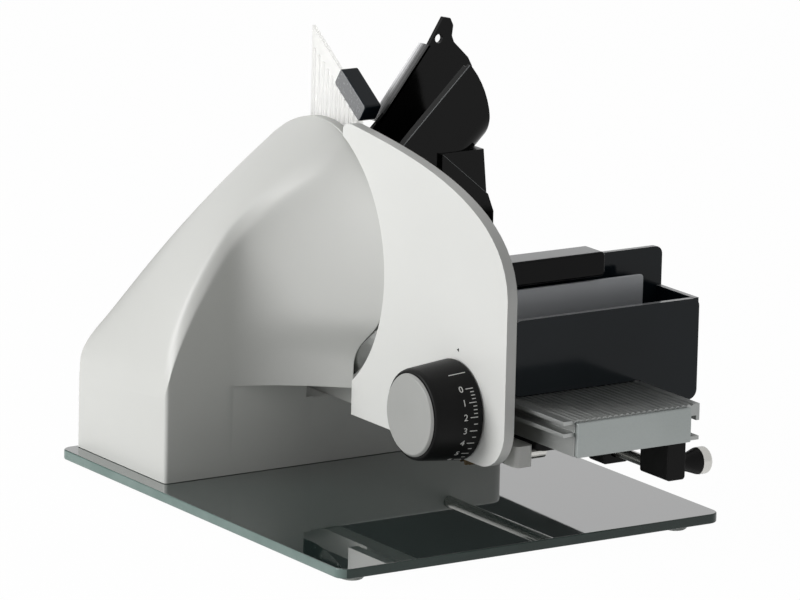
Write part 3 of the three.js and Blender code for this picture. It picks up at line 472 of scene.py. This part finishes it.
def cowlEdge(z):
    # front edge of the cowl beside the blade: a foot, a ledge, then an arc up to the crease
    c = casting
    easeFrom = c["arcZ"] + c["creaseEase"]
    rise = clamp((z - easeFrom) / (creaseTopZ - easeFrom), 0, 1)
    radius = blendOf(c["cowlRadius"], c["creaseRadius"], easeOf(rise))
    arc = c["arcY"] - math.sqrt(max(radius ** 2 - (z - c["arcZ"]) ** 2, 0))
    footTop = c["lipHeight"] + c["lipRise"]
    foot = blendOf(c["ledgeLow"], c["ledgeHigh"], clamp((z - footTop) / (c["ledgeZ"] - footTop), 0, 1))
    return blendOf(foot, arc, easeOf(clamp((z - c["ledgeZ"]) / c["ledgeRise"], 0, 1)))


def domeEdge(share):
    # outline beside the blade, from the crease (0) over the top to the back (1)
    c = casting
    startAngle = math.atan2(creaseTopZ - c["domeZ"], creaseTopY - c["domeY"])
    startRadius = math.hypot(creaseTopZ - c["domeZ"], creaseTopY - c["domeY"])
    angle = startAngle * (1 - share)
    eased = easeOf(clamp((startAngle - angle) / math.radians(c["easeAngle"]), 0, 1))
    radius = blendOf(startRadius, c["domeRadius"], eased)
    return arcPoint(c["domeY"], c["domeZ"], radius, angle)


def bowAt(x):
    # how far the front has bowed out, blurred so that the bow starts without a line
    c = casting
    reach = min(c["bowBlur"], c["skinFace"] - x)
    shares = []
    for step in range(-c["bowSteps"], c["bowSteps"] + 1):
        at = x + reach * step / c["bowSteps"]
        share = (at - c["cowlStart"]) / (c["skinFace"] - c["cowlStart"])
        shares.append(clamp(share, 0, 1) ** c["bowPower"])
    return sum(shares) / len(shares)


def softened(points, rounds):
    # each point moves towards the middle of its neighbours, so corners turn round
    for _ in range(rounds):
        inner = [
            tuple((before[k] + 2 * here[k] + after[k]) / 4 for k in (0, 1))
            for before, here, after in zip(points, points[1:], points[2:])
        ]
        points = [points[0], *inner, points[-1]]
    return points


def archPoint(share, along, bow, inset, side, step):
    # a point of the skin behind the crease (0) on the way to the back (1)
    c = casting
    edgeY, edgeZ = domeEdge(share)
    narrow = blendOf(bow, along ** c["widthPower"], clamp(share / c["narrowEnd"], 0, 1))
    power = blendOf(c["creasePower"], c["archPower"], share ** c["shoulder"])
    y = blendOf(blendOf(c["front"], c["back"], share), edgeY, narrow)
    y += step * (1 - clamp(share / c["stepEnd"], 0, 1)) ** 2
    z = c["endHeight"] + (edgeZ - c["endHeight"]) * along ** power
    return y + side * (1 - 2 * share), z - inset


def castSection(x, inset=0, sideInset=0):
    # the outline across the machine at x, as (y, z) from the lower back corner round to the upper one
    c = casting
    along = (x - c["left"]) / (c["skinFace"] - c["left"])
    bow = bowAt(x)
    creaseZ = c["endHeight"] + (creaseTopZ - c["endHeight"]) * along ** c["creasePower"] - inset
    lip = min(c["lipHeight"] + c["lipRise"] * bow, creaseZ - c["lipDrop"])
    side = inset + sideInset
    skin = []
    for i in range(c["frontSteps"]):
        z = blendOf(lip + inset, creaseZ, i / c["frontSteps"])
        skin.append((blendOf(c["front"], cowlEdge(z), bow) + side, z))
    step = (cowlEdge(creaseZ + inset) - creaseTopY) * bow
    first, second = (archPoint(share, along, bow, inset, side, step) for share in (0, c["straight"]))
    for i in range(c["archSteps"] + 1):
        share = i / c["archSteps"]
        if share < c["straight"]:  # the skin leaves the crease in a straight line
            part = share / c["straight"]
            skin.append((blendOf(first[0], second[0], part), blendOf(first[1], second[1], part)))
        else:
            skin.append(archPoint(share, along, bow, inset, side, step))
    skin = softened(skin, c["softRounds"])
    rear = c["back"] - side
    lipLow = lip - c["lipStep"] - inset * c["lipDraw"]
    low = [(rear, 0), (c["front"] + side, 0), (c["front"] + side, lipLow)]
    return low + skin + [(rear, c["plinthHeight"] - inset)]


def loftPiece(name, rows):
    # a closed skin through rows of points, each row given as (x, [(y, z), ...])
    count = len(rows[0][1])
    points = [placed(x, y, z + casting["lift"]) for x, row in rows for y, z in row]
    faces = [list(range(count)), [(len(rows) - 1) * count + i for i in range(count)]]
    for s in range(len(rows) - 1):
        for i in range(count):
            a = s * count + i
            b = s * count + (i + 1) % count
            faces.append([a, b, b + count, a + count])
    return facingOut(meshPiece(name, points, faces))


def roundedBy(distance, radius):
    # how far a rounded end has drawn in, at a distance from it
    left = clamp(radius - distance, 0, radius)
    return radius - math.sqrt(radius ** 2 - left ** 2)


def castRows():
    c = casting
    span = c["skinFace"] - c["left"]
    steps = c["stations"]
    places = [c["left"] + span * (i / steps) ** c["stationPower"] for i in range(steps + 1)]
    places += [c["left"] + step for step in c["endRows"]]
    places += [c["skinFace"] - step for step in c["faceRows"]]
    rows = []
    for x in sorted(set(places)):
        drawn = roundedBy(c["skinFace"] - x, c["faceRound"])
        rows.append((x, castSection(x, drawn, roundedBy(x - c["left"], c["endRound"]))))
    return rows


def rimPiece():
    # the raised edge that covers the blade from the top over the back to the bottom
    c = casting
    steps = c["rimSteps"]
    outer = [domeEdge(i / steps) for i in range(steps + 1)]
    outer = [(y, z) for y, z in outer if y > c["rimFrom"]]
    for i in range(1, c["rimDownSteps"] + 1):
        angle = -math.radians(c["rimDown"]) * i / c["rimDownSteps"]
        outer.append(arcPoint(c["domeY"], c["domeZ"], c["domeRadius"], angle))
    last, first = (math.atan2(z - c["bladeZ"], y - c["bladeY"]) for y, z in (outer[-1], outer[0]))
    inner = [
        arcPoint(c["bladeY"], c["bladeZ"], c["wellRadius"], blendOf(last, first, i / steps))
        for i in range(steps + 1)
    ]
    ring = outer + inner
    rows = [(c["skinFace"] - c["rimRoot"], ring), (c["face"] + c["rimReach"], ring)]
    rim = loftPiece("rimRing", rows)
    roundEdges(rim, c["rimRound"] * mm, 3, 50)
    return rim


def recessRing(inset):
    # the recess's outline, drawn in from the skin's edge by inset
    c = casting
    steps = c["recessSteps"]
    low = c["plinthHeight"] + c["recessLow"]
    start = c["lipHeight"] + c["lipRise"] + c["recessStart"]
    outer = [(cowlEdge(z), z) for z in (blendOf(start, creaseTopZ, i / steps) for i in range(steps))]
    outer += [domeEdge(i / steps) for i in range(steps + 1)]
    inner = []
    for y, z in outer:
        inward = Vector((c["arcY"] - y, c["arcZ"] - z)).normalized() * inset
        inner.append((y + inward.x, z + inward.y))
    corner = cowlEdge(start) - c["recessOut"]
    foot = start - c["recessDrop"]
    return [(corner, low), (corner, foot), (inner[0][0], foot), *inner, (c["recessBack"], low)]


def recessPiece():
    # cut out beside the blade, so that only the skin's edge runs on towards the stop plate
    c = casting
    rows = [(c["face"], recessRing(c["edgeDeep"]))]
    rows += [(x, recessRing(c["edgeThick"])) for x in (c["skinFace"], c["face"] + c["recessReach"])]
    return loftPiece("bladeRecess", rows)


def plinthBlock():
    c = casting
    low = (c["face"] - c["plinthRoot"], c["front"] + c["plinthGap"], c["lift"] + c["plinthGap"])
    high = (c["plinthRight"], c["back"] - c["plinthGap"], c["plinthHeight"] + c["lift"])
    return roundedBlock(low, high, c["plinthCorner"], c["plinthEdge"])


def domeHollow():
    c = casting
    span = c["face"] - c["left"] - 2 * c["wall"]
    steps = c["hollowSteps"]
    places = [c["left"] + c["wall"] + span * (i / steps) ** c["stationPower"] for i in range(steps + 1)]
    return loftPiece("castHollow", [(x, castSection(x, c["wall"])) for x in places])


def plinthHollow():
    # open at the bottom, and running into the dome's hollow on the left
    c = casting
    low = (c["face"] - c["wall"] - c["hollowOver"], c["front"] + c["plinthWall"], -c["hollowOver"])
    high = Vector((c["plinthRight"], c["back"], c["plinthHeight"] + c["lift"]))
    return blockBetween(low, high - Vector((1, 1, 1)) * c["plinthWall"])


def makeCasting():
    piece = loftPiece("casting", castRows())
    block = plinthBlock()
    combine(piece, recessPiece(), "DIFFERENCE")
    combine(piece, block, "UNION")
    combine(piece, rimPiece(), "UNION")
    combine(piece, domeHollow(), "DIFFERENCE")
    combine(piece, plinthHollow(), "DIFFERENCE")
    for seat in castSeats:
        combine(piece, roundRod(*seat), "DIFFERENCE")
    smoothOver(piece, 30, weighted=False)
    dress(piece, finishes["paint"], "base", slotOf["housing"], "housing")
    wallX = placed(casting["face"], 0, 0).x
    # the wall behind the blade is painted black, painted shade that the blade beside the stop plate mirrors
    # dark
    paintFaces(piece, "paintedWellShade", lambda face: face.normal.x > 0.9 and abs(face.center.x - wallX) < 0.4 * mm)


makeCasting()

print("rounded copies")

# node: (piece name, finish, edge radius in mm, segments)
roundedPieces = {
    "glass_base": ("glassPlate", "glass", 0.8, 3),
    "foot_front_left": ("footFrontLeft", "footRubber", 0.8, 3),
    "foot_front_right": ("footFrontRight", "footRubber", 0.8, 3),
    "foot_rear_left": ("footRearLeft", "footRubber", 0.8, 3),
    "foot_rear_right": ("footRearRight", "footRubber", 0.8, 3),
    "stop_plate": ("stopPlateCast", "platePaint", 2.4, 5),
    "dial": ("dialBarrel", "satin", 0.5, 3),
    "dial_cap": ("dialCapDisc", "capPlastic", 0.5, 3),
    "slide_arm": ("slideArmCast", "paint", 0.8, 3),
    "rod_end_block": ("rodEndBlock", "satin", 1.0, 3),
    "lock_knob": ("lockKnobSpool", "satin", 0.5, 3),
    "lock_knob_cap": ("lockKnobDisc", "steel", 0.4, 3),
    "carriage_tray": ("trayProfile", "tray", 0.2, 2),
    "front_end_cap": ("trayFrontCap", "capGrey", 0.6, 3),
    "rear_end_cap": ("trayRearCap", "capGrey", 0.6, 3),
    "rod_shoe": ("rodShoeBlock", "satin", 0.8, 3),
    "arm_shoe": ("armShoePad", "satin", 1.2, 3),
    "hand_guard": ("handGuardBox", "gloss", 0.7, 3),
    "guard_liner": ("guardLinerPanel", "panel", 0.5, 3),
    "guard_grip": ("guardGripBar", "grip", 1.5, 4),
    "pusher_grip": ("pusherGripBar", "gloss", 1.0, 3),
    "switch_button": ("switchCap", "satin", 0.8, 3),
    "cord_gland": ("cordGlandRing", "satin", 0.6, 3),
    "blade_screw": ("bladeScrewHead", "steel", 0.3, 2),
}
made = {}
for nodeName, (pieceName, finish, radius, segments) in roundedPieces.items():
    piece = copyOfNode(nodeName, pieceName)
    roundEdges(piece, radius * mm, segments)
    smoothOver(piece)
    made[nodeName] = dress(piece, finishes[finish], bodyOf[nodeName], slotOf[nodeName], nodeName)

innerFinishes = {
    "blade": "blade", "blade_spindle": "steel", "spindle_bush": "brass", "worm_wheel": "nylon",
    "motor_worm": "steel", "motor": "steel", "worm_bearing": "brass", "bottom_cover": "satin",
    "guide_pin_1": "steel", "guide_pin_2": "steel", "dial_gear": "nylon", "slide_screw": "steel",
    "screw_gear": "darkBrass", "guide_rod": "steel",
}
for nodeName, finish in innerFinishes.items():
    node = frame["nodes"][nodeName]
    node.data.materials.clear()
    node.data.materials.append(finishes[finish])


def edgeGlass(plate):
    # the plate's ground edge is greener than its faces, and its left side is paler as painted light from the
    # lamp on that side
    paintFaces(plate, "glassEdge", lambda face: abs(face.normal.z) < 0.8)
    paintFaces(plate, "glassEdgePaintedLight", lambda face: abs(face.normal.z) < 0.8 and face.normal.x < -0.5)


edgeGlass(made["glass_base"])

# faces painted paler, as painted reflections of the bright room; node: (finish, where they look, mm below the
# top at most)
paintedReflectionFaces = {
    "guard_grip": ("paintedTopReflection", (0, 0, 1), 300),
    "hand_guard": ("paintedTopReflection", (0, 0, 1), 45),
    "pusher_grip": ("paintedSideReflection", (-1, 0, 0), 300),
}


# paints a paler finish on the faces turned one way, as a painted reflection
def lightFaces(piece, finish, towards, depth):
    lowest = max(point.co.z for point in piece.data.vertices) - depth * mm
    way = Vector(towards)
    paintFaces(piece, finish, lambda face: face.normal.dot(way) > 0.85 and face.center.z > lowest)


for nodeName, (finish, towards, depth) in paintedReflectionFaces.items():
    lightFaces(made[nodeName], finish, towards, depth)

print("chute and pusher")

# mm in the machine's own zero; points are (x, z) seen from the user's side
chute = {
    "lipStart": (1.7, 217.8), "lipEnd": (35.9, 261.7), "lipFrom": 18, "lipWide": 14, "lipDrop": 2.6,
    # the lip's tones are a painted reflection, dark near the wall to pale at the outer edge
    "lipThick": 1.6, "lipLift": 0.2, "lipSteps": 12, "lipReflectionTones": (0.01, 0.07, 0.22, 0.5, 0.85, 0.95),
    "cutLow": (-12, 21.1, 212), "cutHigh": (60, 40, 290),
    "tabLeft": 40, "tabFront": 17, "tabLow": 205, "tabRound": 3.2, "troughRound": 0.5,
    "mouth": (-11.5, 206.4), "slope": 44, "edgeLength": 71.3, "nearSide": -21, "wall": 3,
    "ridgeIn": (1, -0.3, 0.6), "ridgeShort": 2, "ridgeWide": 5, "ridgeTop": 0.6, "ridgeDeep": 3,
    "ridgeRound": 0.8,
    "gusset": ((19.8, 203.6), (53.1, 176.2)), "gussetFront": -24, "edgeWide": 0.45, "edgeRound": 0.15,
}


def barAlong(name, start, end, across, outline):
    # a bar from start to end, each (x, y, z); outline holds steps along Y and along the direction across
    points = []
    for centre in (Vector(start), Vector(end)):
        for alongY, alongAcross in outline:
            points.append(placed(*(centre + Vector((0, alongY, 0)) + Vector(across) * alongAcross)))
    count = len(outline)
    faces = [list(range(count)), list(range(count, 2 * count))]
    faces += [[i, (i + 1) % count, (i + 1) % count + count, i + count] for i in range(count)]
    return facingOut(meshPiece(name, points, faces))


def shadeLip(roll):
    # paler by steps towards the outer edge, as a painted reflection of the bright room
    c = chute
    shades = c["lipReflectionTones"]
    for i, shade in enumerate(shades):
        tone = (shade, shade, shade * 1.02)
        roll.data.materials.append(makeFinish(f"lipReflectionTone{i}", tone, tone, 0.12, 0.18, 500, 0.01))
    near = placed(0, c["lipFrom"], 0).y
    for face in roll.data.polygons:
        share = (face.center.y - near) / (c["lipWide"] * mm)
        face.material_index = int(clamp(share * len(shades), 0, len(shades) - 1))


def lipRoll():
    # the far wall's edge is rolled outwards
    c = chute
    (x0, z0), (x1, z1) = c["lipStart"], c["lipEnd"]
    length = math.hypot(x1 - x0, z1 - z0)
    upward = (-(z1 - z0) / length, 0, (x1 - x0) / length)
    steps = c["lipSteps"]
    outline = []
    for shrink, order in ((0, range(steps + 1)), (c["lipThick"], range(steps, -1, -1))):
        for i in order:
            turn = math.radians(90) * i / steps
            wide = (c["lipWide"] - shrink) * math.sin(turn)
            drop = (c["lipDrop"] - shrink) * (1 - math.cos(turn))
            outline.append((wide, c["lipLift"] - shrink - drop))
    roll = barAlong("chuteLip", (x0, c["lipFrom"], z0), (x1, c["lipFrom"], z1), upward, outline)
    smoothOver(roll, 40, weighted=False)
    shadeLip(roll)
    return roll


def troughPiece():
    # the solid's trough without its square lip, the corners of the tab on its far side rounded
    c = chute
    piece = copyOfNode("food_chute", "chuteTrough")
    combine(piece, blockBetween(c["cutLow"], c["cutHigh"]), "DIFFERENCE")
    corner = placed(c["tabLeft"], c["tabFront"], c["tabLow"])

    def onTab(first, second):
        level = abs(first.x - second.x) < 0.05 * mm and abs(first.z - second.z) < 0.05 * mm
        return level and min(first.y, second.y) > corner.y and first.z > corner.z and first.x > corner.x

    bevelWhere(piece, onTab, c["tabRound"], 5, held=True)
    roundEdges(piece, c["troughRound"] * mm, 3, 40)
    smoothOver(piece, 32)
    return piece


def ridgePiece(upTrough, across):
    # a ridge along the inside of the near wall
    c = chute
    inX, inY, inZ = c["ridgeIn"]
    start = Vector((c["mouth"][0] + inX, c["nearSide"] + c["wall"] + inY, c["mouth"][1] + inZ))
    end = start + upTrough * (c["edgeLength"] - c["ridgeShort"])
    wide, top, deep = c["ridgeWide"], c["ridgeTop"], c["ridgeDeep"]
    outline = ((0, -top), (wide, -top), (wide, -deep), (0, -deep))
    ridge = barAlong("troughRidge", start, end, across, outline)
    roundEdges(ridge, c["ridgeRound"] * mm, 3, 40)
    return ridge


def edgeLines(upTrough, across):
    # thin bars along the near wall's edge and the gusset's, painted pale as painted highlights
    c = chute
    half = c["edgeWide"] / 2
    square = ((-half, -half), (half, -half), (half, half), (-half, half))
    start = Vector((c["mouth"][0], c["nearSide"], c["mouth"][1]))
    lines = barAlong("chuteEdgeLine", start, start + upTrough * c["edgeLength"], across, square)
    (x0, z0), (x1, z1) = c["gusset"]
    tilt = Vector((z0 - z1, 0, x1 - x0)).normalized()
    gusset = barAlong("gussetLine", (x0, c["gussetFront"], z0), (x1, c["gussetFront"], z1), tilt, square)
    joinInto(lines, [gusset])
    roundEdges(lines, c["edgeRound"] * mm, 2, 40)
    return lines


def makeChute():
    slope = math.radians(chute["slope"])
    upTrough = Vector((math.cos(slope), 0, math.sin(slope)))
    across = (-math.sin(slope), 0, math.cos(slope))
    piece = troughPiece()
    joinInto(piece, [ridgePiece(upTrough, across)])
    smoothOver(piece, 32)
    dress(piece, finishes["trough"], "carriage", slotOf["food_chute"], "food_chute")
    dress(lipRoll(), None, "carriage", slotOf["food_chute"])
    dress(edgeLines(upTrough, across), finishes["sheen"], "carriage", slotOf["food_chute"])


makeChute()

pusherSheet = {"front": 21.2, "round": 0.3}  # mm; the sheet starts inside its grip


def makePusher():
    piece = copyOfNode("pusher_plate", "pusherSheet")
    editAll(piece, (bpy.ops.mesh.bisect, {
        "plane_co": placed(0, pusherSheet["front"], 0), "plane_no": (0, 1, 0), "use_fill": True,
        "clear_inner": True, "clear_outer": False,
    }))
    roundEdges(piece, pusherSheet["round"] * mm, 2)
    smoothOver(piece)
    dress(piece, finishes["pale"], "pusher", slotOf["pusher_plate"], "pusher_plate")


makePusher()

print("dial marks")

# angles in degrees above the horizontal, on the side towards the user; lengths in mm
dialMarks = {
    "axisY": -105, "axisZ": 70, "coneRight": -22.3, "coneLength": 27, "radiusRight": 30.3, "radiusLeft": 27.6,
    "numbers": (38, 21.5, 4.5, -11.5, -28, -46, -64), "numberX": -33.2, "numberSize": 5.6,
    "longFrom": -30.2, "shortFrom": -27.8, "markEnd": -25.4, "markWide": 0.5, "thick": 0.12,
    "lineAngle": 60, "lineFrom": -36.5, "between": (3, 3, 1, 1, 1, 1),
}


def onBarrel(piece, x, angle):
    # bends a flat mark, drawn in mm with its face up, onto the dial's cone
    d = dialMarks
    for point in piece.data.vertices:
        u, v, w = point.co
        atX = x + u
        share = clamp((d["coneRight"] - atX) / d["coneLength"], 0, 1)
        radius = blendOf(d["radiusRight"], d["radiusLeft"], share)
        turn = math.radians(angle) + v / radius
        out = radius + w
        point.co = placed(atX, d["axisY"] - out * math.cos(turn), d["axisZ"] + out * math.sin(turn))
    return facingOut(piece)


def strokeAt(name, start, end, angle):
    d = dialMarks
    bpy.ops.mesh.primitive_cube_add(size=1)
    stroke = bpy.context.object
    stroke.name = name
    stroke.scale = (end - start, d["markWide"], 2 * d["thick"])
    settle(stroke)
    editAll(stroke, (bpy.ops.mesh.subdivide, {"number_cuts": 2}))
    return onBarrel(stroke, (start + end) / 2, angle)


def numberAt(text, angle):
    d = dialMarks
    bpy.ops.object.text_add()
    sign = bpy.context.object
    sign.data.body = text
    sign.data.size = d["numberSize"]
    sign.data.align_x = "CENTER"
    sign.data.align_y = "CENTER"
    sign.data.extrude = d["thick"]
    takeOnly(sign)
    bpy.ops.object.convert(target="MESH")
    sign = bpy.context.object
    editAll(sign, (bpy.ops.mesh.remove_doubles, {"threshold": 0.001}))
    return onBarrel(sign, d["numberX"], angle)


def makeDialMarks():
    d = dialMarks
    parts = [strokeAt("dialScale", d["lineFrom"], d["markEnd"], d["lineAngle"])]
    for i, angle in enumerate(d["numbers"]):
        parts.append(numberAt(str(i), angle))
        parts.append(strokeAt("longMark", d["longFrom"], d["markEnd"], angle))
        if i + 1 < len(d["numbers"]):
            gaps = d["between"][i] + 1
            for step in range(1, gaps):
                middle = blendOf(angle, d["numbers"][i + 1], step / gaps)
                parts.append(strokeAt("shortMark", d["shortFrom"], d["markEnd"], middle))
    scale = joinInto(parts[0], parts[1:])
    dress(scale, finishes["print"], "thickness_dial", "pale_plastic")


makeDialMarks()

# a small pointer printed on the stop plate over the dial, in mm
platePointer = {"x": -21, "y": -106, "z": 106, "size": 1.3, "thick": 0.12, "round": 0.05}


def makePointer():
    p = platePointer
    bpy.ops.mesh.primitive_cylinder_add(
        vertices=3, radius=p["size"] * mm, depth=2 * p["thick"] * mm,
        location=placed(p["x"], p["y"], p["z"]), rotation=(0, math.radians(90), 0),
    )
    pointer = settle(bpy.context.object)
    pointer.name = "platePointer"
    roundEdges(pointer, p["round"] * mm, 2)
    dress(pointer, finishes["satin"], "stop_plate_slide", "black_plastic")


makePointer()

print("stage and light")

# metres, and shares of full white; the lamps are (place, size, watts) and all look at one point
studio = {
    "floorSize": 30, "floorDrop": 0.2 * mm, "floorShade": 0.9, "floorGlow": 0.985,
    "ambient": 0.205, "lampAim": (0, 0, 0.1),
    "lamps": {
        "leftSoftbox": ((-1.72, 0.52, 0.72), 1.0, 26),
        "topSoftbox": ((-0.2, 0.6, 1.9), 1.2, 1.5),
    },
}
# a dark card behind the machine, seen only in the glass as a painted dark reflection; corners in the
# machine's mm
darkCard = {"corners": ((-320, 281, 45), (145, 281, 45), (355, 281, 150), (-320, 281, 150)), "shade": 0.04}


def seenDirectly(nodes, links, share):
    # share for camera, glossy and transmission rays, none for the rest
    path = nodes.new("ShaderNodeLightPath")
    first = nodes.new("ShaderNodeMath")
    first.operation = "MAXIMUM"
    second = nodes.new("ShaderNodeMath")
    second.operation = "MAXIMUM"
    times = nodes.new("ShaderNodeMath")
    times.operation = "MULTIPLY"
    times.inputs[1].default_value = share
    links.new(path.outputs["Is Camera Ray"], first.inputs[0])
    links.new(path.outputs["Is Glossy Ray"], first.inputs[1])
    links.new(first.outputs["Value"], second.inputs[0])
    links.new(path.outputs["Is Transmission Ray"], second.inputs[1])
    links.new(second.outputs["Value"], times.inputs[0])
    return times.outputs["Value"]


def paperMaterial(name, shade):
    material = bpy.data.materials.new(name)
    material.use_nodes = True
    shader = material.node_tree.nodes["Principled BSDF"]
    shader.inputs["Base Color"].default_value = (shade, shade, shade, 1)
    shader.inputs["Roughness"].default_value = 0.9
    return material


def makeFloor():
    bpy.ops.mesh.primitive_plane_add(size=studio["floorSize"], location=(0, 0, -studio["floorDrop"]))
    floor = bpy.context.object
    floor.name = "paleFloor"
    material = paperMaterial("palePaper", studio["floorShade"])
    nodes, links = material.node_tree.nodes, material.node_tree.links
    glow = nodes.new("ShaderNodeEmission")
    mix = nodes.new("ShaderNodeMixShader")
    links.new(seenDirectly(nodes, links, studio["floorGlow"]), mix.inputs["Fac"])
    links.new(nodes["Principled BSDF"].outputs["BSDF"], mix.inputs[1])
    links.new(glow.outputs["Emission"], mix.inputs[2])
    links.new(mix.outputs["Shader"], nodes["Material Output"].inputs["Surface"])
    floor.data.materials.append(material)


def makeWorld(ambient):
    world = bpy.context.scene.world or bpy.data.worlds.new("studio")
    bpy.context.scene.world = world
    world.use_nodes = True
    nodes, links = world.node_tree.nodes, world.node_tree.links
    soft = nodes["Background"]
    soft.inputs["Color"].default_value = (1, 1, 1, 1)
    soft.inputs["Strength"].default_value = ambient
    white = nodes.new("ShaderNodeBackground")
    white.inputs["Strength"].default_value = 1.0
    mix = nodes.new("ShaderNodeMixShader")
    links.new(seenDirectly(nodes, links, 1.0), mix.inputs["Fac"])
    links.new(soft.outputs["Background"], mix.inputs[1])
    links.new(white.outputs["Background"], mix.inputs[2])
    links.new(mix.outputs["Shader"], nodes["World Output"].inputs["Surface"])


def makeLamp(name, place, size, watts):
    bpy.ops.object.light_add(type="AREA", location=place)
    lamp = bpy.context.object
    lamp.name = name
    lamp.data.size = size
    lamp.data.energy = watts
    direction = Vector(studio["lampAim"]) - Vector(place)
    lamp.rotation_euler = direction.to_track_quat("-Z", "Y").to_euler()


def makeCard():
    # seen only in reflections, the card paints a dark reflection into the glass
    card = meshPiece("darkCard", [placed(*corner) for corner in darkCard["corners"]], [[0, 1, 2, 3]])
    card.data.materials.append(paperMaterial("darkCardPaper", darkCard["shade"]))
    card.visible_camera = False
    card.visible_diffuse = False
    card.visible_shadow = False


makeFloor()
makeCard()
makeWorld(studio["ambient"])
for lampName, (place, size, watts) in studio["lamps"].items():
    makeLamp(lampName, place, size, watts)

bpy.context.scene.view_settings.view_transform = "Standard"
